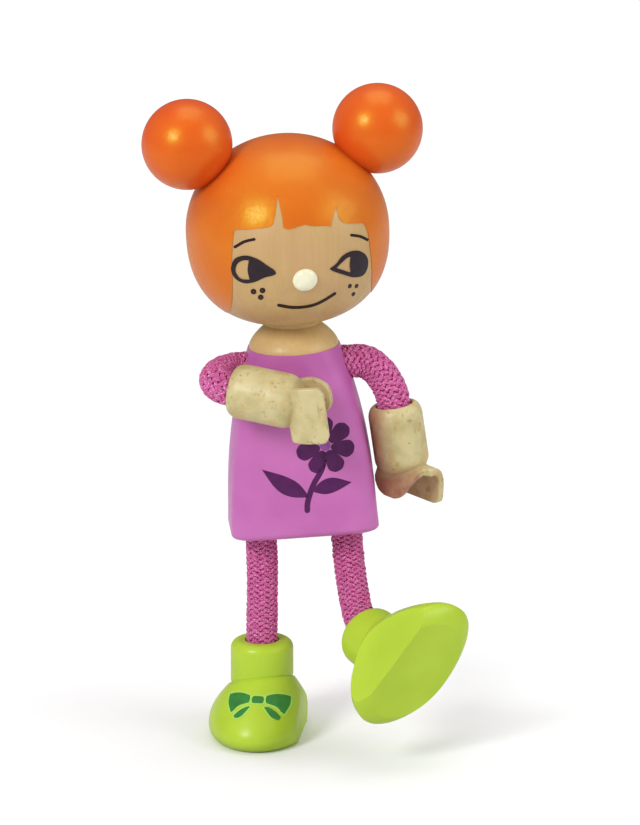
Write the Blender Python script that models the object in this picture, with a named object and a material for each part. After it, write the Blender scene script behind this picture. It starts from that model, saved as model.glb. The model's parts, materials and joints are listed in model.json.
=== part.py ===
"""A turned wooden doll with bendable cord arms and legs.

The doll stands on its right foot, with its left foot kicked forward. The origin is on
the right sole, under the ankle. Z is up and the doll looks along -Y, so its right hand
is on the -X side. Lengths are in metres.
"""
import math

import bmesh
import bpy
from mathutils import Matrix, Vector

# Fits
FIT_GAP = 0.0003
JOINT_GAP = 0.0004
CUT_OVERRUN = 0.001

# Whole figure
LEAN = math.radians(2.9)
TORSO_TURN = math.radians(4.5)
HEAD_TURN = math.radians(9.6)

# Torso
TORSO_HEIGHT = 0.0376
HEM_HALF_WIDTH = 0.0146
TORSO_HALF_DEPTH = 0.0087
NECKLINE_RADIUS = 0.0089
SHOULDER_DOME_HEIGHT = 0.0054
NECK_TOP_RADIUS = 0.0053
HEM_ROUNDING = 0.0014
SHOULDER_DROP = 0.0042
SHOULDER_HEIGHT = TORSO_HEIGHT - SHOULDER_DROP
HIP_OFFSET = 0.0085
HEM_SQUARENESS = 4.0
HEM_CORNER_POWER = 0.7
FLARE_POWER = 2.4
DOME_POWER = 1.6

# Head
HEAD_RADIUS = 0.0197
HEAD_HALF_HEIGHT = 0.0184
HEAD_SEAT_RADIUS = 0.0058
NECK_DOWEL_RADIUS = 0.0020
NECK_DOWEL_IN_HEAD = 0.0100
NECK_DOWEL_IN_TORSO = 0.0036

# Hair buns
BUN_RADIUS = 0.0088
BUN_SINK = 0.00167
BUN_RISE = math.radians(44.38)
BUN_DOWEL_RADIUS = 0.0015
BUN_DOWEL_IN_BUN = 0.0050
BUN_DOWEL_IN_HEAD = 0.0050

# Nose
NOSE_RADIUS = 0.0024
NOSE_STANDOUT = 0.0014
NOSE_DROP = 0.0055
NOSE_STEM_RADIUS = 0.0011
NOSE_STEM_LENGTH = 0.0050

# Cords and the wire inside them
ARM_CORD_RADIUS = 0.0032
LEG_CORD_RADIUS = 0.0030
WIRE_RADIUS = 0.0005
WIRE_BORE_RADIUS = 0.0008
CHEST_CORD_HALF_LENGTH = 0.0027
ARM_ROOT_START = 0.0030
LEG_BORE_DEPTH = 0.0140
WIRE_END_INSET = 0.0002

# Arms: how far each pivot stands out, and the bends of the two arms
RIGHT_SHOULDER_PIVOT_OUT = 0.0003
LEFT_SHOULDER_PIVOT_OUT = 0.0020
WRIST_PIVOT_OUT = 0.0009
RIGHT_CUFF_FROM_SHOULDER = Vector((-0.0014, -0.0119, -0.0011))
LEFT_CUFF_FROM_SHOULDER = Vector((0.0096, -0.0009, -0.0087))
RIGHT_HAND_AIM = Vector((0.950, -0.285, -0.130))
RIGHT_HAND_UP = Vector((-0.16, -0.05, 1.0))
LEFT_HAND_AIM = Vector((0.145, 0.0, -0.990))
LEFT_HAND_UP = Vector((-0.766, 0.643, 0.0))
RIGHT_SHOULDER_BEND = 0.0049
RIGHT_WRIST_BEND = 0.0049
LEFT_SHOULDER_BEND = 0.0042
LEFT_WRIST_BEND = 0.0042

# Hands
CUFF_RADIUS = 0.00535
CUFF_LENGTH = 0.0142
CUFF_DOME = 0.0036
CUFF_HOLE_DEPTH = 0.0085
GRIP_CENTRE = 0.0170
GRIP_REACH = 0.0040
GRIP_HALF_GAP = 0.00385
GRIP_WALL = 0.00135
GRIP_SQUARENESS = 3.0
FINGER_TIP = 0.0033
THUMB_TIP = 0.0018
FINGER_HALF_WIDTH = 0.00575
FINGER_SHIFT = 0.0006
FINGER_CORNER = 0.0022
THUMB_ROOT_HALF_WIDTH = 0.0047
THUMB_TIP_HALF_WIDTH = 0.0020
THUMB_TAPER_POWER = 3

# Legs
HIP_PIVOT_OUT = 0.0019
ANKLE_PIVOT_OUT = 0.0007
RIGHT_HIP_FROM_ANKLE = Vector((-0.0002, 0.0, 0.0227))
LEFT_ANKLE_FROM_HIP = Vector((0.0041, -0.0092, -0.0197))
LEFT_FOOT_DOWN = Vector((0.492, -0.853, -0.173))
LEFT_FOOT_TOE = Vector((0.691, 0.263, 0.673))
RIGHT_FOOT_TOE = Vector((-0.13, -1.0, 0.0))
RIGHT_HIP_BEND = 0.0080
RIGHT_ANKLE_BEND = 0.0080
LEFT_HIP_BEND = 0.0066
LEFT_ANKLE_BEND = 0.0060

# Shoes
SHOE_HEIGHT = 0.0185
SHOE_CUFF_RADIUS = 0.0060
SHOE_CUFF_BASE = 0.0112
SHOE_HOLE_DEPTH = 0.0115
SHOE_HEEL = 0.0126
SHOE_TOE = 0.0148
SHOE_OUTER_HALF_WIDTH = 0.0094
SHOE_INNER_HALF_WIDTH = 0.0079
SHOE_SQUARENESS = 2.1
SHOE_INNER_FLATNESS = 2.8
SHOE_SIDE_HEIGHT = 0.0050
SOLE_ROUNDING = 0.0012

# Shares of the sizes above: height of each contour from the side to the cuff's base,
# and its width from the cuff's radius to the shoe's outline
SHOE_CONTOUR_SHARES = (
    (0.0, 1.0), (0.22, 0.955), (0.45, 0.86), (0.66, 0.70), (0.82, 0.50), (0.93, 0.28), (1.0, 0.10)
)
HEM_ROUNDING_SHARES = (0.0, 0.5, 1.0)
CUP_RADIUS_SHARES = (0.55, 0.85, 1.0)
BALL_ANGLE_SHARES = (0.3, 0.6, 0.85)

# Facets
CORD_SIDES = 14
WIRE_SIDES = 6
DOWEL_SIDES = 16
HEAD_SIDES = 40
HEAD_RINGS = 18
BUN_SIDES = 26
BUN_RINGS = 14
NOSE_RINGS = 5
TORSO_SIDES = 40
TORSO_RINGS = 10
DOME_RINGS = 5
CUFF_SIDES = 24
CUFF_DOME_RINGS = 5
RIM_RINGS = 4
SHOE_SIDES = 28
SOLE_RINGS = 3
GRIP_SECTIONS = 18
ROUTE_SAMPLES = 240
CUP_SEARCH_STEPS = 40
STATION_SPACING = 0.0022
SMOOTH_ANGLE = math.radians(38)

# Colours, as red, green and blue, and roughness
FINISHES = {
    "hair_paint": ((0.79, 0.20, 0.02), 0.32),
    "pale_wood": ((0.73, 0.53, 0.26), 0.45),
    "skin_wood": ((0.60, 0.37, 0.17), 0.45),
    "dress_paint": ((0.56, 0.15, 0.46), 0.35),
    "magenta_cord": ((0.62, 0.06, 0.30), 0.85),
    "speckled_hand": ((0.70, 0.61, 0.33), 0.40),
    "lime_paint": ((0.46, 0.65, 0.05), 0.35),
    "ivory": ((0.87, 0.84, 0.65), 0.30),
    "steel_wire": ((0.55, 0.55, 0.56), 0.35),
}

JOINTS = []


def clear_scene():
    for old in list(bpy.data.objects):
        bpy.data.objects.remove(old, do_unlink=True)


def finish_material(name):
    """The named finish, made once."""
    known = bpy.data.materials.get(name)
    if known:
        return known
    colour, roughness = FINISHES[name]
    made = bpy.data.materials.new(name)
    made.use_nodes = True
    shader = made.node_tree.nodes["Principled BSDF"]
    shader.inputs["Base Color"].default_value = (*colour, 1.0)
    shader.inputs["Roughness"].default_value = roughness
    if name == "steel_wire":
        shader.inputs["Metallic"].default_value = 1.0
    return made


def frame_at(place, rotation):
    return Matrix.Translation(place) @ rotation.to_4x4()


def pivot_empty(name, frame, parent=None):
    """An empty on a joint's axis, which carries the pieces of one body."""
    empty = bpy.data.objects.new(name, None)
    empty.empty_display_size = CUFF_RADIUS
    bpy.context.scene.collection.objects.link(empty)
    empty["world"] = [list(row) for row in frame]
    if parent:
        empty.parent = parent
        empty.matrix_parent_inverse = world_of(parent).inverted()
    empty.matrix_basis = frame
    return empty


def world_of(empty):
    return Matrix([list(row) for row in empty["world"]])


def piece(name, mesh, frame, finish, body):
    """Put a mesh into the scene as one named piece of a body."""
    mesh.materials.append(finish_material(finish))
    mesh.shade_smooth()
    mesh.set_sharp_from_angle(angle=SMOOTH_ANGLE)
    made = bpy.data.objects.new(name, mesh)
    bpy.context.scene.collection.objects.link(made)
    if body:
        made.parent = body
        made.matrix_parent_inverse = world_of(body).inverted()
    made.matrix_basis = frame
    return made


def tool(name, mesh, frame):
    """A shape that only cuts or joins another, and isn't a piece."""
    made = bpy.data.objects.new(name, mesh)
    made.hide_render = True
    made.display_type = "WIRE"
    bpy.context.scene.collection.objects.link(made)
    made.matrix_basis = frame
    return made


def boolean(target, other, operation="DIFFERENCE"):
    step = target.modifiers.new(other.name, "BOOLEAN")
    step.operation = operation
    step.object = other
    step.solver = "EXACT"


def skin(name, rings, loop=False):
    """A closed mesh through rings of points. A ring of one point is a pole."""
    work = bmesh.new()
    rows = [[work.verts.new(point) for point in ring] for ring in rings]
    pairs = list(zip(rows, rows[1:]))
    if loop:
        pairs.append((rows[-1], rows[0]))
    for near, far in pairs:
        count = max(len(near), len(far))
        for i in range(count):
            j = (i + 1) % count
            if len(near) == 1:
                work.faces.new((near[0], far[j], far[i]))
            elif len(far) == 1:
                work.faces.new((near[i], near[j], far[0]))
            else:
                work.faces.new((near[i], near[j], far[j], far[i]))
    if not loop:
        for row in (rows[0], rows[-1]):
            if len(row) > 1:
                work.faces.new(row)
    bmesh.ops.recalc_face_normals(work, faces=work.faces)
    mesh = bpy.data.meshes.new(name)
    work.to_mesh(mesh)
    work.free()
    return mesh


def turned(name, profile, sides):
    """A turned piece about Z, from a profile of (radius, height)."""
    rings = []
    for radius, height in profile:
        if radius <= 0:
            rings.append([Vector((0, 0, height))])
            continue
        angles = (math.tau * i / sides for i in range(sides))
        rings.append([Vector((radius * math.cos(a), radius * math.sin(a), height)) for a in angles])
    return skin(name, rings)


def rod(name, radius, start, end, sides):
    return turned(name, ((0, start), (radius, start), (radius, end), (0, end)), sides)


def oval_profile(radius, half_height, rings, seat_radius=0.0):
    """Half of an oval, from its bottom, with a flat seat there if one is asked for."""
    first = math.asin(seat_radius / radius)
    steps = [first + (math.pi - first) * i / rings for i in range(rings + 1)]
    profile = [(radius * math.sin(a), -half_height * math.cos(a)) for a in steps[:-1]]
    if seat_radius > 0:
        profile.insert(0, (0, profile[0][1]))
    else:
        profile[0] = (0, -half_height)
    return profile + [(0, half_height)]


def aimed(axis, side):
    """A rotation with its Z along axis and its X near side."""
    z = axis.normalized()
    y = z.cross(side).normalized()
    x = y.cross(z)
    return Matrix((x, y, z)).transposed()


# Places of the main pieces

def torso_rotation(turn):
    return Matrix.Rotation(-LEAN, 3, "Y") @ Matrix.Rotation(turn, 3, "Z")


def torso_frame():
    """The torso's frame: its origin in the middle of the hem, X to the doll's left, Z up."""
    rotation = torso_rotation(TORSO_TURN)
    right_hip = Vector((0, 0, SHOE_HEIGHT)) + RIGHT_HIP_FROM_ANKLE
    return frame_at(right_hip + rotation @ Vector((HIP_OFFSET, 0, 0)), rotation)


def head_seat_depth():
    """From the middle of the head down to its flat seat."""
    return HEAD_HALF_HEIGHT * math.sqrt(1 - (HEAD_SEAT_RADIUS / HEAD_RADIUS) ** 2)


def neck_height():
    return TORSO_HEIGHT + SHOULDER_DOME_HEIGHT


def head_frame():
    middle = Vector((0, 0, neck_height() + FIT_GAP + head_seat_depth()))
    return frame_at(torso_frame() @ middle, torso_rotation(HEAD_TURN))


def half_width(height):
    """Half of the torso's width at a height above the hem."""
    fall = (TORSO_HEIGHT - height) / TORSO_HEIGHT
    return NECKLINE_RADIUS + (HEM_HALF_WIDTH - NECKLINE_RADIUS) * (1 - (1 - fall) ** FLARE_POWER)


def flat_oval(half_x, half_y, squareness, height, sides):
    """A ring whose corners are fuller as squareness rises from 2, a true oval."""
    ring = []
    for i in range(sides):
        a = math.tau * i / sides
        x = math.copysign(abs(math.cos(a)) ** (2 / squareness), math.cos(a))
        y = math.copysign(abs(math.sin(a)) ** (2 / squareness), math.sin(a))
        ring.append(Vector((half_x * x, half_y * y, height)))
    return ring


# Torso and neck

def torso_mesh():
    rings = []
    for share in HEM_ROUNDING_SHARES:
        angle = share * math.pi / 2
        inset = HEM_ROUNDING * (1 - math.sin(angle))
        height = HEM_ROUNDING * (1 - math.cos(angle))
        rings.append(flat_oval(half_width(height) - inset, TORSO_HALF_DEPTH - inset,
                               HEM_SQUARENESS, height, TORSO_SIDES))
    for i in range(1, TORSO_RINGS + 1):
        height = HEM_ROUNDING + (TORSO_HEIGHT - HEM_ROUNDING) * i / TORSO_RINGS
        share = 1 - height / TORSO_HEIGHT
        depth = TORSO_HALF_DEPTH + (NECKLINE_RADIUS - TORSO_HALF_DEPTH) * (1 - share)
        squareness = 2 + (HEM_SQUARENESS - 2) * share ** HEM_CORNER_POWER
        rings.append(flat_oval(half_width(height), depth, squareness, height, TORSO_SIDES))
    for i in range(1, DOME_RINGS + 1):
        share = i / DOME_RINGS
        radius = NECKLINE_RADIUS - (NECKLINE_RADIUS - NECK_TOP_RADIUS) * share ** DOME_POWER
        height = TORSO_HEIGHT + SHOULDER_DOME_HEIGHT * share
        rings.append(flat_oval(radius, radius, 2, height, TORSO_SIDES))
    return skin("torso", rings)


def make_torso(body):
    frame = torso_frame()
    torso = piece("torso", torso_mesh(), frame, "dress_paint", body)
    arm_bore = ARM_CORD_RADIUS + FIT_GAP
    across = frame @ Matrix.Translation((0, 0, SHOULDER_HEIGHT)) @ Matrix.Rotation(math.pi / 2, 4, "Y")
    reach = HEM_HALF_WIDTH + CUT_OVERRUN
    boolean(torso, tool("arm_bore", rod("arm_bore", arm_bore, -reach, reach, CORD_SIDES), across))
    for side, place in (("right", -HIP_OFFSET), ("left", HIP_OFFSET)):
        name = side + "_leg_bore"
        shape = rod(name, LEG_CORD_RADIUS + FIT_GAP, -CUT_OVERRUN, LEG_BORE_DEPTH, CORD_SIDES)
        boolean(torso, tool(name, shape, frame @ Matrix.Translation((place, 0, 0))))
    bore = rod("neck_bore", NECK_DOWEL_RADIUS + FIT_GAP, -NECK_DOWEL_IN_TORSO - FIT_GAP,
               CUT_OVERRUN, DOWEL_SIDES)
    top = frame @ Matrix.Translation((0, 0, neck_height()))
    boolean(torso, tool("neck_bore", bore, top))
    dowel = rod("neck_dowel", NECK_DOWEL_RADIUS, -NECK_DOWEL_IN_TORSO,
                NECK_DOWEL_IN_HEAD, DOWEL_SIDES)
    piece("neck_dowel", dowel, top, "pale_wood", body)


# Head, buns and nose

def bun_place(side):
    """The middle of a bun, on a line that rises from the head's middle."""
    way = Vector((side * math.cos(BUN_RISE), 0, math.sin(BUN_RISE)))
    surface = 1 / math.hypot(way.x / HEAD_RADIUS, way.z / HEAD_HALF_HEIGHT)
    return way * (surface + BUN_RADIUS - BUN_SINK)


def make_head(body):
    frame = head_frame()
    profile = oval_profile(HEAD_RADIUS, HEAD_HALF_HEIGHT, HEAD_RINGS, HEAD_SEAT_RADIUS)
    head = piece("head", turned("head", profile, HEAD_SIDES), frame, "hair_paint", body)
    seat = -head_seat_depth()
    bore = rod("head_bore", NECK_DOWEL_RADIUS + FIT_GAP, seat - CUT_OVERRUN,
               seat + NECK_DOWEL_IN_HEAD, DOWEL_SIDES)
    boolean(head, tool("head_bore", bore, frame))
    for side, name in ((-1, "right_bun"), (1, "left_bun")):
        make_bun(name, side, frame, head, body)
    make_nose(frame, head, body)


def make_bun(name, side, frame, head, body):
    """A ball of hair, sunk a little into the head and held by a dowel."""
    place = bun_place(side)
    outward = aimed(place, Vector((0, 1, 0)))
    bun_frame = frame @ frame_at(place, outward)
    ball = turned(name, oval_profile(BUN_RADIUS, BUN_RADIUS, BUN_RINGS), BUN_SIDES)
    bun = piece(name, ball, bun_frame, "hair_paint", body)
    seat_radius = BUN_RADIUS + FIT_GAP
    seat = turned(name + "_seat", oval_profile(seat_radius, seat_radius, BUN_RINGS), BUN_SIDES)
    boolean(head, tool(name + "_seat", seat, bun_frame))
    hole_radius = BUN_DOWEL_RADIUS + FIT_GAP
    top = -BUN_RADIUS + BUN_DOWEL_IN_BUN
    bottom = -BUN_RADIUS - BUN_DOWEL_IN_HEAD
    hole = rod(name + "_hole", hole_radius, bottom - FIT_GAP, top + FIT_GAP, DOWEL_SIDES)
    hole_tool = tool(name + "_hole", hole, bun_frame)
    boolean(head, hole_tool)
    boolean(bun, hole_tool)
    dowel = rod(name + "_dowel", BUN_DOWEL_RADIUS, bottom, top, DOWEL_SIDES)
    piece(name + "_dowel", dowel, bun_frame, "pale_wood", body)


def make_nose(frame, head, body):
    """A button on a stem, pressed into the middle of the face."""
    face = -HEAD_RADIUS * math.sqrt(1 - (NOSE_DROP / HEAD_HALF_HEIGHT) ** 2)
    slope = Vector((0, face / HEAD_RADIUS ** 2, -NOSE_DROP / HEAD_HALF_HEIGHT ** 2))
    nose_frame = frame @ frame_at(Vector((0, face, -NOSE_DROP)), aimed(slope, Vector((1, 0, 0))))
    turns = [math.pi / 2 * i / NOSE_RINGS for i in range(NOSE_RINGS)]
    dome = [(NOSE_RADIUS * math.cos(a), FIT_GAP + NOSE_STANDOUT * math.sin(a)) for a in turns]
    profile = [(0, -NOSE_STEM_LENGTH), (NOSE_STEM_RADIUS, -NOSE_STEM_LENGTH),
               (NOSE_STEM_RADIUS, FIT_GAP), *dome, (0, FIT_GAP + NOSE_STANDOUT)]
    piece("nose", turned("nose", profile, DOWEL_SIDES), nose_frame, "ivory", body)
    hole = rod("nose_hole", NOSE_STEM_RADIUS + FIT_GAP, -NOSE_STEM_LENGTH - FIT_GAP,
               CUT_OVERRUN, DOWEL_SIDES)
    boolean(head, tool("nose_hole", hole, nose_frame))


# Cords

class Route:
    """The middle line of a limb's cord: one smooth bend between two straight ends."""

    def __init__(self, start, start_way, start_bend, end, end_way, end_bend, side):
        self.start, self.end = start, end
        self.start_way, self.end_way = start_way.normalized(), end_way.normalized()
        self.side = side.normalized()
        handles = (start, start + self.start_way * start_bend, end - self.end_way * end_bend, end)
        self.points = [self.bezier(handles, i / ROUTE_SAMPLES) for i in range(ROUTE_SAMPLES + 1)]
        self.lengths = [0.0]
        for near, far in zip(self.points, self.points[1:]):
            self.lengths.append(self.lengths[-1] + (far - near).length)
        self.length = self.lengths[-1]

    @staticmethod
    def bezier(handles, t):
        a, b, c, d = handles
        u = 1 - t
        return a * u ** 3 + b * (3 * u * u * t) + c * (3 * u * t * t) + d * t ** 3

    def at(self, along):
        """The point and direction at a length along the route, straight on past its ends."""
        if along <= 0:
            return self.start + self.start_way * along, self.start_way
        if along >= self.length:
            return self.end + self.end_way * (along - self.length), self.end_way
        i = next(k for k, reached in enumerate(self.lengths) if reached >= along)
        near, far = self.points[i - 1], self.points[i]
        share = (along - self.lengths[i - 1]) / (self.lengths[i] - self.lengths[i - 1])
        return near.lerp(far, share), self.way(i - 1).lerp(self.way(i), share).normalized()

    def way(self, i):
        if i == 0:
            return self.start_way
        if i == ROUTE_SAMPLES:
            return self.end_way
        return (self.points[i + 1] - self.points[i - 1]).normalized()

    def bend_axis(self, along):
        """The axis that the cord bends about there, square to its direction."""
        way = self.at(along)[1]
        return (self.side - way * self.side.dot(way)).normalized()

    def out(self, along, angle):
        """The direction from the middle line to the cord's surface."""
        way = self.at(along)[1]
        axis = self.bend_axis(along)
        return axis.cross(way) * math.cos(angle) + axis * math.sin(angle)

    def surface(self, along, radius, angle):
        return self.at(along)[0] + self.out(along, angle) * radius


def cup_station(route, pivot, reach, radius, angle):
    """How far along the route a line of the cord first lies at a given reach from a pivot."""
    middle = route.at(pivot)[0]
    low, high = pivot, pivot + 2 * reach
    for _ in range(CUP_SEARCH_STEPS):
        mid = (low + high) / 2
        if (route.surface(mid, radius, angle) - middle).length < reach:
            low = mid
        else:
            high = mid
    return high


def stretch_steps(route, start, end):
    """How many steps a stretch needs: one where it is straight."""
    if end <= 0 or start >= route.length:
        return 1
    return max(2, round((end - start) / STATION_SPACING))


def cord_rings(route, start, end, radius, cupped, balled):
    """Rings of one stretch of cord, round its outside and back through its wire bore.

    A cupped start is hollow around the pivot there, and a balled end is round about it.
    """
    angles = [math.tau * i / CORD_SIDES for i in range(CORD_SIDES)]
    reach = radius + JOINT_GAP

    def first(share, angle):
        if not cupped:
            return start
        return cup_station(route, start, reach, share, angle)

    widths = (WIRE_BORE_RADIUS, *(radius * share for share in CUP_RADIUS_SHARES))
    if not cupped:
        widths = (WIRE_BORE_RADIUS, radius)
    rings = [[route.surface(first(w, a), w, a) for a in angles] for w in widths]
    rims = [first(radius, a) for a in angles]
    steps = stretch_steps(route, start, end)
    for k in range(1, steps + 1):
        rings.append([route.surface(rim + (end - rim) * k / steps, radius, a)
                      for rim, a in zip(rims, angles)])
    if balled:
        last = math.acos(WIRE_BORE_RADIUS / radius)
        for share in (*BALL_ANGLE_SHARES, 1.0):
            turn = last * share
            rings.append(ring_ahead(route, end, radius * math.sin(turn), radius * math.cos(turn), angles))
    rings.append([route.surface(end, WIRE_BORE_RADIUS, a) for a in angles])
    inner = first(WIRE_BORE_RADIUS, 0)
    for k in range(1, steps):
        along = end + (inner - end) * k / steps
        rings.append([route.surface(along, WIRE_BORE_RADIUS, a) for a in angles])
    return rings


def ring_ahead(route, end, ahead, radius, angles):
    """A ring straight ahead of a stretch's end, along the cord's direction there."""
    middle, way = route.at(end)
    return [middle + way * ahead + route.out(end, a) * radius for a in angles]


def wire_rings(route, start, end, radius, cupped, balled):
    """The wire inside one stretch of cord, ending just inside the cord's own ends."""
    first = start + WIRE_END_INSET + (radius + JOINT_GAP if cupped else 0)
    last = end - WIRE_END_INSET
    steps = stretch_steps(route, start, end)
    angles = [math.tau * i / WIRE_SIDES for i in range(WIRE_SIDES)]
    stations = [first + (last - first) * k / steps for k in range(steps + 1)]
    rings = [[route.surface(s, WIRE_RADIUS, a) for a in angles] for s in stations]
    if balled:
        ahead = radius - WIRE_BORE_RADIUS
        rings.append(ring_ahead(route, end, ahead, WIRE_RADIUS, angles))
    return rings


def cord_piece(name, route, start, end, radius, cupped, balled, body, pivot):
    """One stretch of cord and the wire in it, with their origins on the pivot."""
    frame = Matrix.Translation(pivot)
    cord = cord_rings(route, start, end, radius, cupped, balled)
    wire = wire_rings(route, start, end, radius, cupped, balled)
    for kind, rings, loop in (("cord", cord, True), ("wire", wire, False)):
        local = [[point - pivot for point in ring] for ring in rings]
        finish = "magenta_cord" if kind == "cord" else "steel_wire"
        full_name = f"{name}_{kind}"
        piece(full_name, skin(full_name, local, loop), frame, finish, body)


def note_joint(name, parent, child, place, axis):
    JOINTS.append((name, parent, child, tuple(place), tuple(axis)))


def make_limb(side, names, route, root_start, tip_depth, radius, torso_body):
    """A limb's cord in four stretches: a root in the torso, two free ones and a tip.

    Each stretch after the root turns about the ball at the end of the one before.
    """
    root, upper, lower, tip = (f"{side}_{name}" for name in names[:4])
    turns = [f"{side}_{name}" for name in names[4:]]
    middle = route.length / 2
    swivel_place, swivel_axis = route.at(0)
    bodies = [pivot_empty(root + "_pivot", Matrix.Translation(swivel_place), torso_body)]
    note_joint(turns[0], "torso", root, swivel_place, swivel_axis)
    cord_piece(root, route, -root_start, 0, radius, False, True, bodies[0], swivel_place)
    stretches = (
        (upper, root, turns[1], 0, middle, True),
        (lower, upper, turns[2], middle, route.length, True),
        (tip, lower, turns[3], route.length, route.length + tip_depth, False),
    )
    for name, before, turn, start, end, balled in stretches:
        place = route.at(start)[0]
        bodies.append(pivot_empty(name + "_pivot", Matrix.Translation(place), bodies[-1]))
        note_joint(turn, before, name, place, route.bend_axis(start))
        cord_piece(name, route, start, end, radius, True, balled, bodies[-1], place)
    return bodies[-1]


ARM_NAMES = ("shoulder", "upper_arm", "forearm", "wrist",
             "shoulder_swivel", "shoulder_bend", "elbow_bend", "wrist_bend")
LEG_NAMES = ("hip", "thigh", "shin", "ankle",
             "hip_swivel", "hip_bend", "knee_bend", "ankle_bend")


def make_chest_cord(body):
    """The middle of the arms' cord, in the bore through the shoulders."""
    frame = torso_frame()
    across = (frame.to_3x3() @ Vector((1, 0, 0))).normalized()
    middle = frame @ Vector((0, 0, SHOULDER_HEIGHT))
    start = middle - across * CHEST_CORD_HALF_LENGTH
    end = middle + across * CHEST_CORD_HALF_LENGTH
    length = 2 * CHEST_CORD_HALF_LENGTH
    route = Route(start, across, length / 3, end, across, length / 3, frame.to_3x3() @ Vector((0, 0, 1)))
    cord_piece("chest", route, 0, length, ARM_CORD_RADIUS, False, False, body, middle)


# Hands

def hand_rotation(aim, up):
    """X out of the cuff towards the fingers' tips, and Z near the way that is up."""
    x = aim.normalized()
    z = (up - x * up.dot(x)).normalized()
    return Matrix((x, z.cross(x), z)).transposed()


def cuff_mesh(name):
    """A round cuff about X, with a domed end, a rounded rim and a blind hole for the cord."""
    hole = ARM_CORD_RADIUS + FIT_GAP
    rim = (CUFF_RADIUS - hole) / 2
    rim_middle = (CUFF_RADIUS + hole) / 2
    profile = [(0, -CUFF_LENGTH)]
    for i in range(1, CUFF_DOME_RINGS + 1):
        angle = math.pi / 2 * i / CUFF_DOME_RINGS
        profile.append((CUFF_RADIUS * math.sin(angle), -(CUFF_LENGTH - CUFF_DOME * (1 - math.cos(angle)))))
    for i in range(RIM_RINGS + 1):
        angle = math.pi * i / RIM_RINGS
        profile.append((rim_middle + rim * math.cos(angle), -rim * (1 - math.sin(angle))))
    profile += [(hole, -CUFF_HOLE_DEPTH), (0, -CUFF_HOLE_DEPTH)]
    mesh = turned(name, profile, CUFF_SIDES)
    mesh.transform(Matrix.Rotation(-math.pi / 2, 4, "Y"))
    return mesh


def grip_section(x, side):
    """The middle of the grip's wall at a distance from its centre, on the thumb's side or not."""
    share = min(1.0, abs(x) / GRIP_REACH)
    height = GRIP_HALF_GAP * (1 - share ** GRIP_SQUARENESS) ** (1 / GRIP_SQUARENESS)
    return Vector((GRIP_CENTRE + x, side * height, 0))


def grip_widths(x, side):
    """How far the grip's wall reaches down and up along Z."""
    root = -GRIP_REACH
    if side < 0:
        to_tip = FINGER_TIP - x
        cut = max(0.0, FINGER_CORNER - to_tip)
        rounding = FINGER_CORNER - math.sqrt(max(0.0, FINGER_CORNER ** 2 - cut ** 2))
        half = FINGER_HALF_WIDTH - rounding
        return -half - FINGER_SHIFT, half - FINGER_SHIFT
    share = (x - root) / (THUMB_TIP - root)
    half = THUMB_TIP_HALF_WIDTH + (THUMB_ROOT_HALF_WIDTH - THUMB_TIP_HALF_WIDTH) * math.sqrt(
        max(0.0, 1 - share ** THUMB_TAPER_POWER))
    return -half, half


def grip_mesh(name):
    """An open C: the fingers' broad paddle on -Y, and the thumb's tongue on +Y."""
    stations = []
    for i in range(GRIP_SECTIONS):
        turn = math.pi / 2 * i / GRIP_SECTIONS
        x = FINGER_TIP - (FINGER_TIP + GRIP_REACH) * math.sin(turn)
        stations.append((x, -1))
    stations.append((-GRIP_REACH, -1))
    for i in range(GRIP_SECTIONS - 1, -1, -1):
        turn = math.pi / 2 * i / GRIP_SECTIONS
        stations.append((THUMB_TIP - (THUMB_TIP + GRIP_REACH) * math.sin(turn), 1))
    middles = [grip_section(x, side) for x, side in stations]
    rings = []
    for i, (x, side) in enumerate(stations):
        before = middles[max(0, i - 1)]
        after = middles[min(len(middles) - 1, i + 1)]
        along = (after - before).normalized()
        outward = Vector((along.y, -along.x, 0)) * (GRIP_WALL / 2)
        low, high = grip_widths(x, side)
        down, up = Vector((0, 0, low)), Vector((0, 0, high))
        middle = middles[i]
        rings.append([middle - outward + down, middle + outward + down,
                      middle + outward + up, middle - outward + up])
    return skin(name, rings)


def make_hand(side, mouth, rotation, body):
    frame = frame_at(mouth, rotation)
    name = side + "_hand"
    hand = piece(name, cuff_mesh(name), frame, "speckled_hand", body)
    grip = tool(side + "_grip", grip_mesh(side + "_grip"), frame)
    boolean(hand, grip, "UNION")


def make_arm(side, torso_body):
    """One arm, from the torso's cross bore to the hand."""
    right = side == "right"
    way = -1 if right else 1
    frame = torso_frame()
    outward = frame.to_3x3() @ Vector((way, 0, 0))
    pivot_out = RIGHT_SHOULDER_PIVOT_OUT if right else LEFT_SHOULDER_PIVOT_OUT
    shoulder_half_width = half_width(SHOULDER_HEIGHT)
    mouth = frame @ Vector((way * shoulder_half_width, 0, SHOULDER_HEIGHT))
    shoulder = mouth + outward * pivot_out
    cuff = mouth + (RIGHT_CUFF_FROM_SHOULDER if right else LEFT_CUFF_FROM_SHOULDER)
    aim_and_up = (RIGHT_HAND_AIM, RIGHT_HAND_UP) if right else (LEFT_HAND_AIM, LEFT_HAND_UP)
    rotation = hand_rotation(*aim_and_up)
    aim = rotation @ Vector((1, 0, 0))
    wrist = cuff - aim * WRIST_PIVOT_OUT
    bends = (RIGHT_SHOULDER_BEND, RIGHT_WRIST_BEND) if right else (LEFT_SHOULDER_BEND, LEFT_WRIST_BEND)
    route = Route(shoulder, outward, bends[0], wrist, aim, bends[1], outward.cross(aim))
    root_length = shoulder_half_width + pivot_out - ARM_ROOT_START
    tip_length = WRIST_PIVOT_OUT + CUFF_HOLE_DEPTH - FIT_GAP
    hand_body = make_limb(side, ARM_NAMES, route, root_length, tip_length, ARM_CORD_RADIUS, torso_body)
    make_hand(side, cuff, rotation, hand_body)


# Shoes and legs

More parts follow.
